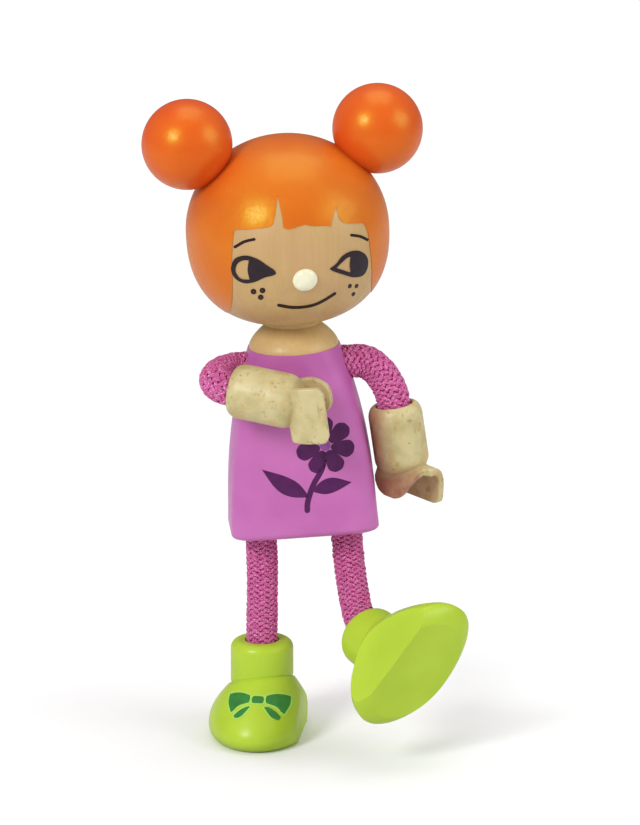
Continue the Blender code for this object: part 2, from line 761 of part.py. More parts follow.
def shoe_outline(height, share, mirror, sides):
    """A ring of the shoe: share 0 is the cuff's circle and share 1 the full outline."""
    ring = []
    for i in range(sides):
        a = math.tau * i / sides
        c, s = math.cos(a), math.sin(a)
        reach_x = SHOE_OUTER_HALF_WIDTH if c < 0 else SHOE_INNER_HALF_WIDTH
        power_x = SHOE_SQUARENESS if c < 0 else SHOE_INNER_FLATNESS
        reach_y = SHOE_TOE if s < 0 else SHOE_HEEL
        x = math.copysign(abs(c) ** (2 / power_x), c) * reach_x
        y = math.copysign(abs(s) ** (2 / SHOE_SQUARENESS), s) * reach_y
        x = SHOE_CUFF_RADIUS * c + (x - SHOE_CUFF_RADIUS * c) * share
        y = SHOE_CUFF_RADIUS * s + (y - SHOE_CUFF_RADIUS * s) * share
        ring.append(Vector((x * mirror, y, height)))
    return ring


def shoe_mesh(name, mirror):
    """A shoe with its sole at Z 0, its ankle on Z and its toe towards -Y."""
    hole = LEG_CORD_RADIUS + FIT_GAP
    rim = (SHOE_CUFF_RADIUS - hole) / 2
    rim_middle = (SHOE_CUFF_RADIUS + hole) / 2
    rings = [[Vector((0, 0, 0))]]
    width = SHOE_OUTER_HALF_WIDTH - SHOE_CUFF_RADIUS
    for i in range(SOLE_RINGS + 1):
        angle = math.pi / 2 * i / SOLE_RINGS
        inset = SOLE_ROUNDING * (1 - math.sin(angle)) / width
        rings.append(shoe_outline(SOLE_ROUNDING * (1 - math.cos(angle)), 1 - inset, mirror, SHOE_SIDES))
    for rise, share in SHOE_CONTOUR_SHARES:
        height = SHOE_SIDE_HEIGHT + (SHOE_CUFF_BASE - SHOE_SIDE_HEIGHT) * rise
        rings.append(shoe_outline(height, share, mirror, SHOE_SIDES))
    circle = [math.tau * i / SHOE_SIDES for i in range(SHOE_SIDES)]
    walls = [(SHOE_CUFF_RADIUS, SHOE_CUFF_BASE + rim / 2)]
    for i in range(RIM_RINGS + 1):
        angle = math.pi * i / RIM_RINGS
        walls.append((rim_middle + rim * math.cos(angle), SHOE_HEIGHT - rim * (1 - math.sin(angle))))
    walls.append((hole, SHOE_HEIGHT - SHOE_HOLE_DEPTH))
    for radius, height in walls:
        rings.append([Vector((radius * math.cos(a) * mirror, radius * math.sin(a), height)) for a in circle])
    rings.append([Vector((0, 0, SHOE_HEIGHT - SHOE_HOLE_DEPTH))])
    return skin(name, rings)


def foot_rotation(down, toe):
    z = -down.normalized()
    y = -(toe - z * toe.dot(z)).normalized()
    return Matrix((y.cross(z), y, z)).transposed()


def make_leg(side, torso_body):
    """One leg, from the torso's bore to the shoe."""
    right = side == "right"
    frame = torso_frame()
    down = frame.to_3x3() @ Vector((0, 0, -1))
    across = frame.to_3x3() @ Vector((-1, 0, 0))
    hip_mouth = frame @ Vector((-HIP_OFFSET if right else HIP_OFFSET, 0, 0))
    hip = hip_mouth + down * HIP_PIVOT_OUT
    if right:
        rotation = foot_rotation(Vector((0, 0, -1)), RIGHT_FOOT_TOE)
        cuff = hip_mouth - RIGHT_HIP_FROM_ANKLE
        bends = (RIGHT_HIP_BEND, RIGHT_ANKLE_BEND)
    else:
        rotation = foot_rotation(LEFT_FOOT_DOWN, LEFT_FOOT_TOE)
        cuff = hip_mouth + LEFT_ANKLE_FROM_HIP
        bends = (LEFT_HIP_BEND, LEFT_ANKLE_BEND)
    foot_down = rotation @ Vector((0, 0, -1))
    ankle = cuff - foot_down * ANKLE_PIVOT_OUT
    side_axis = across if right else down.cross(foot_down)
    route = Route(hip, down, bends[0], ankle, foot_down, bends[1], side_axis)
    root_length = LEG_BORE_DEPTH - FIT_GAP + HIP_PIVOT_OUT
    tip_length = ANKLE_PIVOT_OUT + SHOE_HOLE_DEPTH - FIT_GAP
    foot_body = make_limb(side, LEG_NAMES, route, root_length, tip_length, LEG_CORD_RADIUS, torso_body)
    name = side + "_shoe"
    sole = cuff + foot_down * SHOE_HEIGHT
    mirror = 1 if right else -1
    piece(name, shoe_mesh(name, mirror), frame_at(sole, rotation), "lime_paint", foot_body)


def main():
    clear_scene()
    JOINTS.clear()
    torso_body = pivot_empty("torso_pivot", torso_frame())
    head_body = pivot_empty("head_pivot", head_frame(), torso_body)
    make_torso(torso_body)
    make_chest_cord(torso_body)
    neck_axis = torso_frame().to_3x3() @ Vector((0, 0, 1))
    note_joint("head_turn", "torso", "head", head_frame().translation, neck_axis)
    make_head(head_body)
    for side in ("right", "left"):
        make_arm(side, torso_body)
        make_leg(side, torso_body)


main()
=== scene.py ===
"""Looks of a turned wooden doll with braided cord arms and legs.

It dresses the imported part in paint, print, wood, braid and moulded composite. Lengths are in
metres, Z is up and the doll looks along -Y, so its right hand is on the -X side.
"""
import json
import math
from collections import namedtuple

import bmesh
import bpy
from mathutils import Matrix, Vector


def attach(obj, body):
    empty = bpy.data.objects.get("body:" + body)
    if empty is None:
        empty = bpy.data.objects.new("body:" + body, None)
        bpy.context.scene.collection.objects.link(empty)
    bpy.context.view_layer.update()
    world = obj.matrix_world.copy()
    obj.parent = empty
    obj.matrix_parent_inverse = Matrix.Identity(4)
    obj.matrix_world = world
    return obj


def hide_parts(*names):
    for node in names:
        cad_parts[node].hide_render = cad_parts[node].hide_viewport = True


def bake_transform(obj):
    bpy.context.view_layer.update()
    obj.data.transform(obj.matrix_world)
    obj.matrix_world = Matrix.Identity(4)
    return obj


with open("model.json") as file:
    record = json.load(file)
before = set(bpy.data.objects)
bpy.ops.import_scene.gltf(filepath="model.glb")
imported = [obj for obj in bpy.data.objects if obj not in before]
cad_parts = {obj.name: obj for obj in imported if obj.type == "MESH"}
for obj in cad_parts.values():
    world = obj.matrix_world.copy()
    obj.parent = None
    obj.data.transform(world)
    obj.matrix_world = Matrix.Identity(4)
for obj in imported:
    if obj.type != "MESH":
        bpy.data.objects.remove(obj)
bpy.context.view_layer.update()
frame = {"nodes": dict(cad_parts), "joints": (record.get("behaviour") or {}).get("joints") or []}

# Whole figure, with the same values as the part's source
LEAN = math.radians(2.9)
TORSO_TURN = math.radians(4.5)
HEAD_TURN = math.radians(9.6)
FIT_GAP = 0.0003
SHOE_HEIGHT = 0.0185
RIGHT_HIP_FROM_ANKLE = Vector((-0.0002, 0.0, 0.0227))
LEFT_ANKLE_FROM_HIP = Vector((0.0041, -0.0092, -0.0197))
HIP_OFFSET = 0.0085

# Points nearer than this are one
TOUCH = FIT_GAP / 100
MM = 0.001
DOWN = Vector((0, 0, -1))

# Torso
TORSO_HEIGHT = 0.0376
HEM_HALF_WIDTH = 0.0146
TORSO_HALF_DEPTH = 0.0087
NECKLINE_RADIUS = 0.0089
SHOULDER_DOME_HEIGHT = 0.0054
NECK_TOP_RADIUS = 0.0053
HEM_ROUNDING = 0.0014
SHOULDER_HEIGHT = 0.0334
LEG_BORE_DEPTH = 0.0140
FLARE_POWER = 2.4
DOME_POWER = 1.6
DOME_SHARE = 0.82
HEM_LIFT = 0.0003
CORNER_POWER = 0.7
CORNER_SHARE = 0.37
PAINT_EDGE_DROP = 0.0003
PAINT_STEP = 0.00006
DRESS_RINGS = 22
HEM_STEPS = 5
CORNER_STEPS = 10
SIDE_CUTS = 9
DOME_STEPS = 16

# Head
HEAD_RADIUS = 0.0197
HEAD_HALF_HEIGHT = 0.0184
HEAD_SEAT_RADIUS = 0.0058
CHEEK_FULLNESS = 2.45
HEAD_RINGS = 60
HAIR_THICKNESS = 0.00010
HAIR_BOTTOM = 0.0151
BUN_RADIUS = 0.0088
BUN_SINK = 0.00167
BUN_RISE = math.radians(44.38)
NOSE_RADIUS = 0.0024
NOSE_STANDOUT = 0.0014
NOSE_DROP = 0.0058

# Cords
ARM_CORD_RADIUS = 0.0032
LEG_CORD_RADIUS = 0.0030
RIGHT_HAND_AIM = Vector((0.950, -0.285, -0.130))
RIGHT_HAND_UP = Vector((-0.16, -0.05, 1.0))
LEFT_HAND_AIM = Vector((0.145, 0.0, -0.990))
LEFT_HAND_UP = Vector((-0.766, 0.643, 0.0))
WRIST_PIVOT_OUT = 0.0009
CORD_HIDDEN = 0.0050
ARM_BENDS = {"right": (0.0049, 0.0049), "left": (0.0035, 0.0035)}
LEG_BENDS = {"right": (0.0080, 0.0080), "left": (0.0078, 0.0030)}
BRAID_FULLNESS = 0.00015
CARRIERS = 16
YARN_THICKNESS = 0.00052
BRAID_ANGLE = math.radians(44)
BRAID_STEP = 0.00015
YARN_SIDES = 8
YARN_OVERLAP = 1.04
CORE_SIDES = 24
PASS_SHARPNESS = 2.0
CROWN_BY_PASS = 0.38
CROWN_BY_SECTION = 0.12
ARM_HOLE = ARM_CORD_RADIUS + FIT_GAP
LEG_HOLE = LEG_CORD_RADIUS + FIT_GAP
ARM = ("shoulder", "upper_arm", "forearm", "wrist")
LEG = ("hip", "thigh", "shin", "ankle")

# How far a yarn strays from its path, as a share of its size, the waves in radians per metre
# and their shift from one yarn to the next
STRAY_SHARE = 0.16
STRAY_QUICK = 900
STRAY_SLOW = 370
STRAY_ASIDE = 640
STRAY_STEP = 2.4

# The yarn map: whole numbers tell the strands apart, and along a strand it counts in mm
MAP_HALF_WIDTH = 0.48
MAP_PER_METRE = 1000
WAY_STRANDS = 200
CORE_STRAND = 900

# Hands
CUFF_RADIUS = 0.00535
CUFF_LENGTH = 0.0142
CUFF_DOME = 0.0036
CUFF_HOLE_DEPTH = 0.0085
CUFF_MOUTH_OUT = 0.0004
CUFF_RIM_REACH = 0.0024
CUFF_LIP = 0.0003
GRIP_CENTRE = 0.0170
GRIP_REACH = 0.0051
GRIP_HALF_GAP = 0.0036
GRIP_WALL = 0.0015
GRIP_SQUARENESS = 2.6
GRIP_TURN = math.radians(14)
FINGER_TIP = 0.0028
THUMB_TIPS = {"right": 0.0018, "left": 0.0009}
THUMB_SHIFT = 0.0009
FINGER_HALF_WIDTH = 0.0056
FINGER_SHIFT = 0.0005
FINGER_CORNER = 0.0013
THUMB_ROOT_HALF_WIDTH = 0.0047
THUMB_TIP_HALF_WIDTH = 0.0012
THUMB_TAPER_POWER = 1.5
LEFT_HAND_SHIFT = Vector((-0.0004, 0, 0))
MOULD_VOXEL = 0.00017
CUFF_STEPS = 12
GRIP_STEPS = 18
MOULD_PASSES = 9

# Painted shade on the hands: how strong it is inside the grip, and on the left hand also the
# painted shade with the dress's painted reflection on the side towards the dress and on the thumb
GRIP_PAINTED_SHADE = 0.28
GRIP_PAINTED_SHADE_REACH = 1.6 * GRIP_REACH
DRESS_SIDE = Vector((0, 0.65, 0.76))
DRESS_SIDE_PAINTED_BOUNCE = 0.9
THUMB_PAINTED_SHADE = 0.85

# Shoes
SHOE_CUFF_RADIUS = 0.0062
SHOE_CUFF_BASE = 0.0106
SHOE_COLLAR_TILT = math.radians(10.3)
SHOE_COLLAR_ROLL = math.radians(6.5)
SHOE_CUFF_TOP = SHOE_HEIGHT + 0.0005
SHOE_HOLE_DEPTH = 0.0115
GROOVE = 0.00016
FACET_ROUNDING = 0.00014
SHOE_SIDE_HEIGHT = 0.0024
SOLE_TUCK = 0.0009
RIM_ROUNDING = 0.0017
RIM_EDGE = 0.0002
RIGHT_FOOT_TOE = Vector((-0.13, -1.0, 0.0))
LEFT_FOOT_DOWN = Vector((0.492, -0.853, -0.173))
LEFT_FOOT_TOE = Vector((0.691, 0.263, 0.673))
SHOE_CONTOUR_SHARES = (
    (0.0, 1.0), (0.14, 0.975), (0.30, 0.885), (0.48, 0.73), (0.66, 0.53), (0.84, 0.30), (0.95, 0.14),
    (1.0, 0.05)
)
SOLE_RISES = (0.1, 0.25, 0.4, 0.6, 0.8)
SHOE_STEPS = 72
SHARP_EDGE = math.radians(38)

# Prints
PRINT_LIFT = 0.00001
PRINT_THICKNESS = 0.00003
PRINT_DICE = 0.0006
FACE_DICE = 0.0005
FRECKLE_HALF_WIDTH = 0.00052
FRECKLE_HEART_LIFT = 0.00005
BOW_EDGE_LIFT = 0.00003

# Up to which angle, in degrees, the faces of a piece are shaded as one surface
SMOOTHING = 35
PRINT_SMOOTHING = 30
BRAID_SMOOTHING = 60
MOULD_SMOOTHING = 70

# Camera, from where the photograph was taken
CAMERA_PLACE = (0.01151, -0.96502, 0.32772)
CAMERA_PITCH = math.radians(15.2)
CAMERA_LENS = 222.5
CAMERA_SENSOR = 36.0
CAMERA_REACH = 50

# Lamps with their place, size and power, floor and air
FIGURE_MIDDLE = (0.01, 0, 0.07)
SOFTBOXES = (
    ("key_softbox", (-0.42, -0.52, 0.50), 0.24, 3.2),
    ("side_softbox", (0.62, -0.22, 0.42), 0.42, 1.6),
    ("top_softbox", (0.05, 0.12, 0.85), 0.55, 1.5),
)
AIR_LEVEL = 0.575
GLOSSY_DIMMING = 0.7
FLOOR_SIZE = 8
FLOOR_DROP = 0.00002
FLOOR_SEEN = 0.93
FLOOR_FADE = (0.03, 0.085)
FLOOR_GLOW = 1.05
FLOOR_BOUNCE = 0.72
WHITE = (1, 1, 1, 1)


# At the bench

def only(piece):
    """Select one piece and nothing else."""
    bpy.ops.object.select_all(action="DESELECT")
    piece.select_set(True)
    bpy.context.view_layer.objects.active = piece


def open_up(piece):
    only(piece)
    bpy.ops.object.mode_set(mode="EDIT")


def close_up():
    bpy.ops.object.mode_set(mode="OBJECT")


def named(name):
    """The primitive that was just added, with its name."""
    piece = bpy.context.object
    piece.name = name
    piece.data.name = name
    return piece


def cage():
    """The points, edges and faces of the piece that is open."""
    work = bmesh.from_edit_mesh(bpy.context.edit_object.data)
    work.verts.ensure_lookup_table()
    work.faces.ensure_lookup_table()
    return work


def choose(test, kind="VERT"):
    """Select every point, edge or face whose middle passes a test."""
    bpy.ops.mesh.select_mode(type=kind)
    bpy.ops.mesh.select_all(action="DESELECT")
    work = cage()
    if kind == "VERT":
        for point in work.verts:
            point.select_set(bool(test(point.co)))
    elif kind == "EDGE":
        for edge in work.edges:
            edge.select_set(bool(test((edge.verts[0].co + edge.verts[1].co) / 2)))
    else:
        for face in work.faces:
            face.select_set(bool(test(face.calc_center_median())))
    work.select_flush_mode()
    bmesh.update_edit_mesh(bpy.context.edit_object.data)


def chosen():
    return [point for point in cage().verts if point.select]


def draw_out(move):
    """Extrude what is selected and move it."""
    bpy.ops.mesh.extrude_region_move(TRANSFORM_OT_translate={"value": tuple(move)})


def fit_ring(half_x, half_y):
    """Stretch the selected ring about Z to these half widths."""
    ring = [point.co for point in chosen()]
    wide = max(abs(place.x) for place in ring)
    deep = max(abs(place.y) for place in ring)
    bpy.ops.transform.resize(value=(half_x / wide, half_y / deep, 1), center_override=(0, 0, 0))


def fit_side(axis, sign, reach):
    """Stretch one side of the selected ring, so that it reaches just so far."""
    ring = {point.index for point in chosen()}
    side = {point.index for point in chosen() if point.co[axis] * sign > FIT_GAP / 10}
    far = max(cage().verts[i].co[axis] * sign for i in side)
    select_points(side)
    stretch = [1, 1, 1]
    stretch[axis] = reach / far
    bpy.ops.transform.resize(value=stretch, center_override=(0, 0, 0))
    select_points(ring)


def select_points(indices):
    bpy.ops.mesh.select_mode(type="VERT")
    bpy.ops.mesh.select_all(action="DESELECT")
    work = cage()
    for i in indices:
        work.verts[i].select_set(True)
    work.select_flush(True)
    bmesh.update_edit_mesh(bpy.context.edit_object.data)


def select_whole():
    bpy.ops.mesh.select_all(action="SELECT")


def face_outwards(weld=True):
    select_whole()
    if weld:
        bpy.ops.mesh.remove_doubles(threshold=TOUCH)
    bpy.ops.mesh.normals_make_consistent(inside=False)


def apply_steps(piece):
    """Apply every modifier on a piece."""
    only(piece)
    for step in list(piece.modifiers):
        bpy.ops.object.modifier_apply(modifier=step.name)


def cut_away(piece, *cutters, operation="DIFFERENCE"):
    """Cut other shapes out of a piece, or join them to it, and put them away."""
    for cutter in cutters:
        step = piece.modifiers.new(cutter.name, "BOOLEAN")
        step.operation = operation
        step.object = cutter
        step.solver = "EXACT"
    apply_steps(piece)
    for cutter in cutters:
        bpy.data.objects.remove(cutter, do_unlink=True)


def twin(piece, name):
    """A copy with its own mesh."""
    only(piece)
    bpy.ops.object.duplicate()
    return named(name)


def settle(piece, place, smooth=SMOOTHING):
    """Carry a piece from the bench to its place on the doll."""
    piece.matrix_world = place @ piece.matrix_world
    only(piece)
    bpy.ops.object.transform_apply(location=True, rotation=True, scale=True)
    bpy.ops.object.shade_smooth_by_angle(angle=math.radians(smooth))
    return piece


def hang_on(piece, body, slot, finish, *nodes):
    """Give a piece its finish and its body, and hide the nodes that it stands for. The slot is not used."""
    piece.data.materials.clear()
    piece.data.materials.append(finish)
    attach(piece, body)
    if nodes:
        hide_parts(*nodes)


def turned(name, profile, steps):
    """A turned piece: a line of points about Z, drawn out one by one and spun round."""
    bpy.ops.mesh.primitive_plane_add(size=FIT_GAP, location=(0, 0, 0))
    piece = named(name)
    open_up(piece)
    bpy.ops.mesh.merge(type="CENTER")
    bpy.ops.transform.translate(value=(profile[0][0], 0, profile[0][1]))
    for before, after in zip(profile, profile[1:]):
        move = (after[0] - before[0], 0, after[1] - before[1])
        bpy.ops.mesh.extrude_vertices_move(TRANSFORM_OT_translate={"value": move})
    select_whole()
    bpy.ops.mesh.spin(steps=steps, angle=math.tau, center=(0, 0, 0), axis=(0, 0, 1))
    face_outwards()
    close_up()
    return piece


def arc(middle, height, radius_out, radius_up, start, end, steps):
    """Points of a profile on an arc, with angles in degrees from straight out."""
    points = []
    for i in range(steps + 1):
        angle = math.radians(start + (end - start) * i / steps)
        points.append((middle + radius_out * math.cos(angle), height + radius_up * math.sin(angle)))
    return points


# Finishes

def srgb(red, green, blue):
    """A colour as it shows, from 0 to 255, made linear."""
    def linear(level):
        level /= 255
        return level / 12.92 if level <= 0.04045 else ((level + 0.055) / 1.055) ** 2.4
    return (linear(red), linear(green), linear(blue), 1.0)


def add_node(tree, kind, out, given, **settings):
    """A node with its sockets set or linked. It gives the output that is asked for."""
    made = tree.nodes.new("ShaderNode" + kind)
    for key, value in settings.items():
        setattr(made, key, value)
    for socket, value in given.items():
        if isinstance(value, bpy.types.NodeSocket):
            tree.links.new(value, made.inputs[socket])
        else:
            made.inputs[socket].default_value = value
    return made.outputs[out]


class Finish:
    """One finish, mixed from nodes. Its tone takes up one tint after another."""

    def __init__(self, name, tone=None, **gloss):
        self.made = bpy.data.materials.new(name)
        self.made.use_nodes = True
        self.tree = self.made.node_tree
        self.shader = self.tree.nodes["Principled BSDF"]
        self.tone = tone
        for socket, value in gloss.items():
            self.shader.inputs[socket.replace("_", " ")].default_value = value

    def node(self, kind, out, given, **settings):
        return add_node(self.tree, kind, out, given, **settings)

    def mapped(self, where, scale=(1, 1, 1), turn=(0, 0, 0), shift=(0, 0, 0)):
        """Coordinates, turned and stretched for a pattern."""
        return self.node("Mapping", "Vector",
                         {"Vector": where, "Scale": scale, "Rotation": turn, "Location": shift})

    def place(self, **pattern):
        """Where a point is on the piece."""
        return self.mapped(self.node("TexCoord", "Object", {}), **pattern)

    def painted(self, name):
        """A level that the piece's points carry."""
        return self.node("Attribute", "Fac", {}, attribute_name=name)

    def noise(self, where, scale, detail=3.0, rough=0.55):
        return self.node("TexNoise", "Fac",
                         {"Vector": where, "Scale": scale, "Detail": detail, "Roughness": rough})

    def cells(self, where, scale):
        return self.node("TexVoronoi", "Distance", {"Vector": where, "Scale": scale})

    def ramp(self, level, low, high, top=1.0, base=0.0):
        """Rise smoothly from base to top, while a level goes from low to high."""
        return self.node("MapRange", "Result", {
            "Value": level, "From Min": low, "From Max": high, "To Min": base, "To Max": top,
        }, interpolation_type="SMOOTHSTEP")

    def sum(self, operation, first, second=0.0):
        return self.node("Math", "Value", {0: first, 1: second}, operation=operation)

    def tint(self, shade, share):
        """Bring a shade into the tone, as far as the share goes."""
        self.tone = self.node("Mix", 2, {0: share, 6: self.tone, 7: shade}, data_type="RGBA")

    def done(self, *bumps, rough=None):
        """Join the tone, the roughness and the bumps, each a height level and its real depth."""
        self.tree.links.new(self.tone, self.shader.inputs["Base Color"])
        if rough:
            self.tree.links.new(rough, self.shader.inputs["Roughness"])
        normal = None
        for height, depth in bumps:
            given = {"Height": height, "Distance": depth, "Strength": 1.0}
            if normal:
                given["Normal"] = normal
            normal = self.node("Bump", "Normal", given)
        self.tree.links.new(normal, self.shader.inputs["Normal"])
        return self.made


def gloss_paint(name, colour, deep, **gloss):
    """Sprayed gloss paint on wood: soft clouds of tone, a fine skin and a few dust specks."""
    finish = Finish(name, colour, **{"Roughness": 0.38, "Coat_Weight": 0.16, "Coat_Roughness": 0.2,
                                     "Specular_IOR_Level": 0.5, **gloss})
    place = finish.place()
    finish.tint(deep, finish.ramp(finish.noise(place, 70, 2), 0.35, 0.7))
    fine = finish.ramp(finish.noise(place, 1500, 4), 0.3, 0.75)
    finish.tint(deep, finish.sum("MULTIPLY", fine, 0.14))
    grain = finish.noise(finish.place(scale=(1, 1, 0.12)), 900, 3)
    dust = finish.ramp(finish.cells(place, 330), 0.07, 0.0)
    return finish.done((grain, 0.000025), (finish.noise(place, 420, 2), 0.00005), (dust, 0.00002),
                       rough=finish.ramp(fine, 0.0, 1.0, 0.43, base=0.33))


def bare_wood(name, colour, dark, blush, **gloss):
    """Lacquered pale wood, with its fibres standing along Z."""
    finish = Finish(name, colour, **{"Roughness": 0.46, "Coat_Weight": 0.12, "Coat_Roughness": 0.26,
                                     "Specular_IOR_Level": 0.4, **gloss})
    fibres = finish.noise(finish.place(scale=(1, 1, 0.05)), 1700, 5, 0.6)
    bands = finish.noise(finish.place(scale=(1, 1, 0.14)), 260, 3)
    clouds = finish.noise(finish.place(), 75, 2)
    pores = finish.ramp(finish.cells(finish.place(scale=(1, 1, 0.1)), 1500), 0.14, 0.05)
    finish.tint(dark, finish.ramp(fibres, 0.35, 0.72, 0.30))
    finish.tint(dark, finish.ramp(bands, 0.42, 0.68, 0.35))
    finish.tint(blush, finish.ramp(clouds, 0.4, 0.7, 0.45))
    finish.tint(dark, finish.sum("MULTIPLY", pores, 0.25))
    return finish.done((fibres, 0.00003), (bands, 0.00004),
                       rough=finish.ramp(fibres, 0.3, 0.7, 0.52, base=0.36))


def printed_ink(name, colour, deep):
    """Screen-printed ink: nearly even, with faint mottling."""
    finish = Finish(name, colour, Roughness=0.38, Specular_IOR_Level=0.3)
    place = finish.place()
    finish.tint(deep, finish.ramp(finish.noise(place, 500, 4), 0.35, 0.75))
    return finish.done((finish.noise(place, 2600, 2), 0.00001))


def braid_yarn():
    """Shiny dyed yarn: twisted fibres with painted highlights and painted shade along them, painted shade
    at each yarn's edges and where it dips, and painted glints on its crowns.
    """
    finish = Finish("magenta_yarn", srgb(211, 64, 146), Roughness=0.62, Sheen_Weight=0.27,
                    Sheen_Roughness=0.35, Sheen_Tint=srgb(255, 170, 225), Specular_IOR_Level=0.4)
    yarn = finish.node("UVMap", "UV", {}, uv_map="yarn")
    across = finish.node("SeparateXYZ", "X", {"Vector": yarn})
    side = finish.sum("ABSOLUTE", finish.sum("SUBTRACT", finish.sum("FRACT", across), 0.5))
    own = finish.node("TexWhiteNoise", "Value", {"W": finish.sum("FLOOR", across)},
                      noise_dimensions="1D")
    crown = finish.painted("crown")
    fibres = finish.noise(finish.mapped(yarn, (14, 1.1, 1), (0, 0, 0.10)), 2.2, 4, 0.65)
    painted_glint = finish.noise(finish.mapped(yarn, (7, 3.4, 1)), 1.0, 2)
    finish.tint(srgb(223, 88, 164), finish.ramp(own, 0.0, 1.0))
    # Painted light on the fibres: the lighter streaks are painted highlights, the darker ones painted shade
    finish.tint(srgb(247, 160, 212), finish.ramp(fibres, 0.48, 0.68, 0.83))
    finish.tint(srgb(168, 30, 108), finish.ramp(fibres, 0.5, 0.34, 0.85))
    # Painted shade at each yarn's edges
    finish.tint(srgb(150, 28, 96), finish.ramp(side, 0.34, 0.5, 0.35))
    # Painted shade where the yarn dips under the others
    finish.tint(srgb(120, 12, 72), finish.ramp(crown, 0.62, 0.12, 0.9))
    # Painted glints on the yarn's crowns
    finish.tint(srgb(253, 198, 233), finish.sum("MULTIPLY", finish.ramp(painted_glint, 0.555, 0.64), crown))
    return finish.done((fibres, 0.00016))


def braid_core():
    """The filling that shows between the yarns, coloured dark as painted shade in the gaps."""
    finish = Finish("cord_core", srgb(96, 10, 58), Roughness=0.9)
    place = finish.place()
    finish.tint(srgb(132, 20, 82), finish.ramp(finish.noise(place, 1800, 3), 0.3, 0.7))
    return finish.done((finish.noise(place, 2500, 3), 0.00005))


def hand_composite():
    """Moulded wood composite: pale and waxy, with blots, straw and specks, painted shade in its folds, and
    on the left hand painted shade with the dress's painted reflection.
    """
    finish = Finish("speckled_composite", srgb(207, 194, 143), Roughness=0.5, Coat_Weight=0.1,
                    Coat_Roughness=0.3, Subsurface_Weight=0.08, Subsurface_Scale=0.0012)
    place = finish.place()
    clouds = finish.ramp(finish.noise(place, 260, 4), 0.35, 0.68)
    finish.tint(srgb(190, 173, 119), clouds)
    for shift, scale, detail, low, high, shade in (
        ((0.3, 0.1, 0.2), 360, 2, 0.56, 0.70, srgb(206, 170, 104)),
        ((0.7, 0.4, 0.1), 620, 1.5, 0.66, 0.72, srgb(160, 128, 80)),
    ):
        blots = finish.noise(finish.place(shift=shift), scale, detail)
        finish.tint(shade, finish.ramp(blots, low, high, 0.6))
    for turn, shift, scale, low, shade, share in (
        ((0.4, 0.9, 0.2), (0.0, 0.0, 0.0), 1150, 0.69, srgb(162, 144, 92), 0.42),
        ((1.1, 0.3, 1.2), (0.4, 0.2, 0.7), 1000, 0.70, srgb(152, 132, 90), 0.4),
        ((0.2, 1.4, 2.1), (0.9, 0.5, 0.1), 1500, 0.69, srgb(176, 146, 84), 0.42),
    ):
        straw = finish.noise(finish.place(scale=(1, 1, 0.4), turn=turn, shift=shift), scale, 1.5, 0.4)
        finish.tint(shade, finish.ramp(straw, low, low + 0.06, share))
    specks = finish.ramp(finish.cells(place, 560), 0.22, 0.08, 0.5)
    kept = finish.ramp(finish.noise(place, 420, 2), 0.52, 0.62)
    finish.tint(srgb(136, 112, 70), finish.sum("MULTIPLY", specks, kept))
    # Painted shade inside the grip, and on the left hand painted shade with the dress's painted reflection,
    # in one reddish brown
    uneven = finish.ramp(finish.noise(place, 300, 3), 0.25, 0.6, base=0.65)
    finish.tint(srgb(158, 86, 66), finish.sum("MULTIPLY", finish.painted("painted_shade_and_bounce"), uneven))
    return finish.done((finish.noise(place, 420, 3), 0.00016), (finish.noise(place, 1700, 3), 0.00005),
                       rough=finish.ramp(clouds, 0, 1, 0.56, base=0.42))


def turned_ivory():
    """A cream button with faint turning rings."""
    finish = Finish("ivory_button", srgb(243, 240, 212), Roughness=0.38, Coat_Weight=0.2,
                    Coat_Roughness=0.2, Subsurface_Weight=0.12, Subsurface_Scale=0.001)
    finish.tint(srgb(232, 228, 196), finish.ramp(finish.noise(finish.place(), 240, 3), 0.35, 0.7))
    rings = finish.noise(finish.place(scale=(1, 0.3, 1)), 900, 2)
    finish.tint(srgb(214, 206, 168), finish.ramp(rings, 0.45, 0.7, 0.2))
    return finish.done((rings, 0.00001))


def drawn_wire():
    finish = Finish("drawn_wire", srgb(176, 178, 180), Metallic=1.0, Roughness=0.3)
    place = finish.place()
    finish.tint(srgb(128, 128, 130), finish.ramp(finish.noise(place, 600, 3), 0.4, 0.65))
    return finish.done((finish.noise(place, 3000, 3), 0.00001))


HAIR = gloss_paint("hair_paint_orange", srgb(218, 108, 32), srgb(211, 94, 28),
                   Specular_Tint=srgb(208, 255, 84), Specular_IOR_Level=0.9, Coat_Weight=0.06,
                   Coat_Roughness=0.13)
BUN = gloss_paint("bun_paint_orange", srgb(223, 88, 30), srgb(216, 73, 24),
                  Specular_Tint=srgb(204, 255, 84), Specular_IOR_Level=0.9, Coat_Weight=0.08,
                  Coat_Roughness=0.12)
DRESS = gloss_paint("dress_paint_orchid", srgb(198, 107, 180), srgb(188, 95, 170), Roughness=0.4)
LIME = gloss_paint("shoe_paint_lime", srgb(181, 210, 52), srgb(171, 200, 44), Roughness=0.45,
                   Coat_Weight=0.06, Specular_IOR_Level=0.4)
FACE_WOOD = bare_wood("face_wood", srgb(198, 164, 108), srgb(182, 143, 90), srgb(194, 152, 110))
NECK_WOOD = bare_wood("neck_wood", srgb(210, 179, 120), srgb(192, 155, 98), srgb(206, 170, 114))
DOWEL_WOOD = bare_wood("dowel_wood", srgb(214, 180, 124), srgb(180, 138, 84), srgb(206, 168, 112),
                       Coat_Weight=0.0)
INK = printed_ink("face_ink", srgb(40, 13, 12), srgb(30, 9, 9))
PUPIL_INK = printed_ink("pupil_ink", srgb(40, 24, 34), srgb(30, 17, 26))
FRECKLE_INK = printed_ink("freckle_ink", srgb(92, 50, 34), srgb(76, 40, 28))
MOTIF_INK = printed_ink("motif_ink", srgb(84, 18, 86), srgb(68, 12, 72))
MOTIF_PALE_INK = printed_ink("motif_pale_ink", srgb(150, 84, 160), srgb(136, 70, 148))
